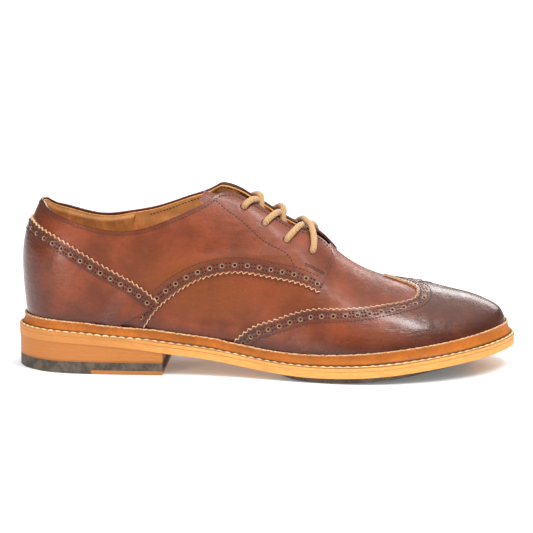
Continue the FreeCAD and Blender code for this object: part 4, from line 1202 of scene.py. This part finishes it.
class SHOE_OT_rand_and_welt(bpy.types.Operator):
    """Storm rand, welt and the welt seam"""
    bl_idname = "shoe.rand_and_welt"
    bl_label = "Rand and welt"

    def execute(self, context):
        u, side = rim_line()
        d = stand_off(u)
        n = outward(u, side)
        foot = body(u, side)
        up = np.array([0.0, 0.0, 1.0])
        ragged = 0.22 * np.sin(np.arange(len(u)) * 1.7) * np.sin(np.arange(len(u)) * 0.37 + 1)
        inner = foot - up * 0.35 + n * (d + 0.05)[:, None]
        outer = inner + n * RAND_FOOT - up * 0.4
        top_in = wall_point(u, side, RAND_HEIGHT, d)
        top_out = wall_point(u, side, RAND_HEIGHT, d + RAND_TOP)
        top_in = top_in + up * (ragged * 0.8)[:, None]
        top_out = top_out + up * ragged[:, None]
        t = np.linspace(0, 1, 9)[1:-1]
        face = [outer + (top_out - outer) * k - n * (1.0 * math.sin(math.pi * k) * (1 - 0.3 * k)) for k in t]
        lip = top_out + n * 0.18 - up * 0.35
        sections = np.stack([inner, outer] + face[:-1] + [lip, top_out, top_in], 1)
        shade = np.zeros(sections.shape[1])
        # Painted shade: the rand is darkened at its foot, in the corner against the welt; the top rows take
        # the pale raw edge.
        shade[1:3] = (0.85, 0.3)
        shade[-3:] = (-0.7, -1, -1)
        piece = strip("storm_rand_leather", sections, [material("storm rand", rand_leather)], shade)
        ship(piece, "rand_leather", "storm_rand")

        station = SOLE_LENGTH * (1 - np.cos(math.pi * u)) / 2
        edge = np.stack([station - CENTRE_X, sole_centre(u) + side * np.maximum(sole_half(u), 0) - CENTRE_Y,
                         np.zeros_like(u)], 1)
        flat = foot * [1, 1, 0]
        floor = underside(station) + OUTSOLE_THICK + 0.05
        crest_in = flat + n * (d + RAND_FOOT + 0.1)[:, None]
        crest_in[:, 2] = foot[:, 2] - 0.95
        heel_in = flat - n * 4.0
        bottom_in = heel_in + up * (underside(foot[:, 0] + CENTRE_X) + OUTSOLE_THICK + 0.05)[:, None]
        heel_in = heel_in + up * (foot[:, 2] - 0.6)[:, None]
        low = edge + up * floor[:, None]
        top = edge + up * (floor + WELT_THICK - 0.05)[:, None]
        inwards = unit((crest_in - top) * [1, 1, 0])
        slope = (crest_in - top)
        parts = [low + inwards * 0.35, low + up * 0.4, low + up * 1.2, top - up * 0.45,
                 top + slope * 0.045 - up * 0.06, top + slope * 0.16]
        for k, dip in ((0.34, 0.0), (0.42, -0.1), (0.48, -0.42), (WELT_SEAM, -0.5), (0.56, -0.42),
                       (0.62, -0.1), (0.72, 0.0)):
            parts.append(top + slope * k + up * dip)
        parts += [crest_in, heel_in, bottom_in]
        sections = np.stack(parts, 1)
        shade = np.zeros(sections.shape[1])
        # Darkening per row: the dressed top edge of the welt is dark stain; the stitch channel and the rows
        # beside the rand foot are painted shade.
        shade[3:8] = (0.25, 0.75, 0.6, 0.12, 0.3)
        shade[8:11] = (0.7, 0.7, 0.7)
        shade[-4:-2] = (0.55, 0.9)
        piece = strip("welt_leather", sections, [material("welt edge", sole_edge, finish().sole)], shade)
        ship(piece, "sole_leather", "welt")
        line = top + slope * WELT_SEAM - up * 0.3
        rows = [resample(line, np.tile(up, (len(line), 1)), 3.0, 3.0, mm("welt_stitch"))]
        look = material("welt thread", thread_cloth, finish().welt_thread)
        sew("welt_stitches", rows, look, mm("welt_stitch") * 0.84, WELT_THREAD, 0.1)
        return {"FINISHED"}


class SHOE_OT_sole(bpy.types.Operator):
    """Finishes of the outsole, heel, rubber and the parts inside"""
    bl_idname = "shoe.sole"
    bl_label = "Sole and heel"

    def execute(self, context):
        f = finish()
        layer = 0.0026
        looks = {
            "outsole": ("outsole edge", sole_edge, f.sole),
            "forepart_rubber": ("dusty rubber", sole_rubber),
            "heel_rubber_lift": ("dusty rubber", sole_rubber),
            "heel_wedge_lift": ("heel stack", sole_edge, f.stack, layer),
            "heel_lift_upper": ("heel stack", sole_edge, f.stack, layer),
            "heel_lift_lower": ("heel stack foot", sole_edge, f.stack, layer, 0.0095),
            "heel_leather_tip": ("heel tip", sole_edge, tuned(f.stack, 0.8)),
            "heel_nails": ("brass nail", hard_finish, (0.6, 0.4, 0.12, 1), 1.0, 0.3),
            "insole": ("insole leather", edge_leather, f.lining, 300),
            "sock_liner": ("sock leather", edge_leather, tuned(f.lining, 1.1), 260),
            "shank": ("sprung steel", hard_finish, (0.4, 0.4, 0.42, 1), 1.0, 0.35),
            "cork_filler": ("cork crumb", edge_leather, (0.35, 0.2, 0.09, 1), 180),
            "toe_puff": ("puff board", edge_leather, (0.5, 0.42, 0.3, 1), 400),
            "heel_stiffener": ("stiffener board", edge_leather, (0.45, 0.36, 0.24, 1), 400),
        }
        for node, look in looks.items():
            dress(node, *look)
        return {"FINISHED"}


# ------------------------------------------------------------------ stage

def aim(obj, at):
    obj.rotation_euler = (Vector(at) - obj.location).to_track_quat("-Z", "Y").to_euler()


class SHOE_OT_stage(bpy.types.Operator):
    """Camera, floor and soft studio lights"""
    bl_idname = "shoe.stage"
    bl_label = "Stage"

    def execute(self, context):
        scene = context.scene
        azimuth, elevation, distance = math.radians(4.0), math.radians(11.0), 1.7
        target = Vector((0.0006, 0.0, 0.061))
        away = Vector((math.sin(azimuth) * math.cos(elevation), -math.cos(azimuth) * math.cos(elevation),
                       math.sin(elevation)))
        lens = bpy.data.cameras.new("camera")
        lens.sensor_width = 36.0
        lens.lens = 188.0
        camera = bpy.data.objects.new("camera", lens)
        scene.collection.objects.link(camera)
        camera.location = target + away * distance
        level = (-away).to_track_quat("-Z", "Y")
        camera.rotation_euler = (level @ Quaternion((0, 0, 1), -0.0044)).to_euler()
        scene.camera = camera

        x, y = np.meshgrid(np.linspace(-4, 4, 9), np.linspace(-4, 4, 9), indexing="ij")
        at = np.arange(81).reshape(9, 9)
        quads = np.stack([at[:-1, :-1], at[1:, :-1], at[1:, 1:], at[:-1, 1:]], -1).reshape(-1, 4)
        paper = Nodes("pale floor")
        shade = paper.noise(3, 2, 0.5)
        paper.surface(paper.mix(shade, (0.76, 0.79, 0.82, 1), (0.79, 0.82, 0.85, 1)), 0.9,
                      Emission_Color=(1, 1, 1, 1), Emission_Strength=0.15)
        points = np.stack([x.ravel(), y.ravel(), np.full(81, -0.0002)], 1) * 1000
        floor = put_mesh("floor", points, quads.tolist(), [paper.material])

        world = bpy.data.worlds.new("studio")
        world.use_nodes = True
        tree = world.node_tree
        sky = tree.nodes["Background"]
        sky.inputs[0].default_value = (1.0, 0.995, 0.985, 1)
        height = tree.nodes.new("ShaderNodeSeparateXYZ")
        fade = tree.nodes.new("ShaderNodeMapRange")
        fade.interpolation_type = "SMOOTHSTEP"
        fade.inputs["From Min"].default_value = 0.25
        fade.inputs["From Max"].default_value = 1.0
        fade.inputs["To Min"].default_value = 0.2
        fade.inputs["To Max"].default_value = 1.9
        tree.links.new(tree.nodes.new("ShaderNodeTexCoord").outputs["Generated"], height.inputs[0])
        tree.links.new(height.outputs[2], fade.inputs["Value"])
        tree.links.new(fade.outputs[0], sky.inputs[1])
        scene.world = world
        for name, spot, wide, tall, power in (
                ("overhead", (0.42, -0.43, 1.05), 0.16, 0.6, 9.0),
                ("left window", (-0.74, -1.02, 0.2), 0.2, 0.24, 4.5),
                ("back window", (0.35, 1.3, 0.62), 1.2, 0.3, 6.0),
                ("front fill", (0.7, -1.6, 0.9), 1.2, 0.8, 1.0)):
            light = bpy.data.lights.new(name, "AREA")
            light.shape = "RECTANGLE"
            light.size = wide
            light.size_y = tall
            light.energy = power
            lamp = bpy.data.objects.new(name, light)
            scene.collection.objects.link(lamp)
            lamp.location = spot
            aim(lamp, (0.0, 0.0, 0.05))
        scene.view_settings.view_transform = "Standard"
        return {"FINISHED"}


STEPS = (SHOE_OT_stage, SHOE_OT_lace, SHOE_OT_wing_cap, SHOE_OT_vamp, SHOE_OT_counter, SHOE_OT_quarters,
         SHOE_OT_linings, SHOE_OT_tongue, SHOE_OT_rand_and_welt, SHOE_OT_sole)


class SHOE_PT_panel(bpy.types.Panel):
    """Buttons and settings of the shoe"""
    bl_label = "Wingtip shoe"
    bl_idname = "SHOE_PT_panel"
    bl_space_type = "VIEW_3D"
    bl_region_type = "UI"
    bl_category = "Shoe"

    def draw(self, context):
        for step in STEPS:
            self.layout.operator(step.bl_idname)
        for group in (context.scene.shoe_finish, context.scene.shoe_sizes):
            for key in group.__annotations__:
                self.layout.prop(group, key)


CLASSES = (ShoeFinish, ShoeSizes) + STEPS + (SHOE_PT_panel,)


def register():
    for cls in CLASSES:
        bpy.utils.register_class(cls)
    bpy.types.Scene.shoe_finish = PointerProperty(type=ShoeFinish)
    bpy.types.Scene.shoe_sizes = PointerProperty(type=ShoeSizes)


def unregister():
    del bpy.types.Scene.shoe_sizes
    del bpy.types.Scene.shoe_finish
    for cls in reversed(CLASSES):
        bpy.utils.unregister_class(cls)


def main():
    register()
    for step in STEPS:
        group, name = step.bl_idname.split(".")
        getattr(getattr(bpy.ops, group), name)()


if __name__ == "__main__":
    main()
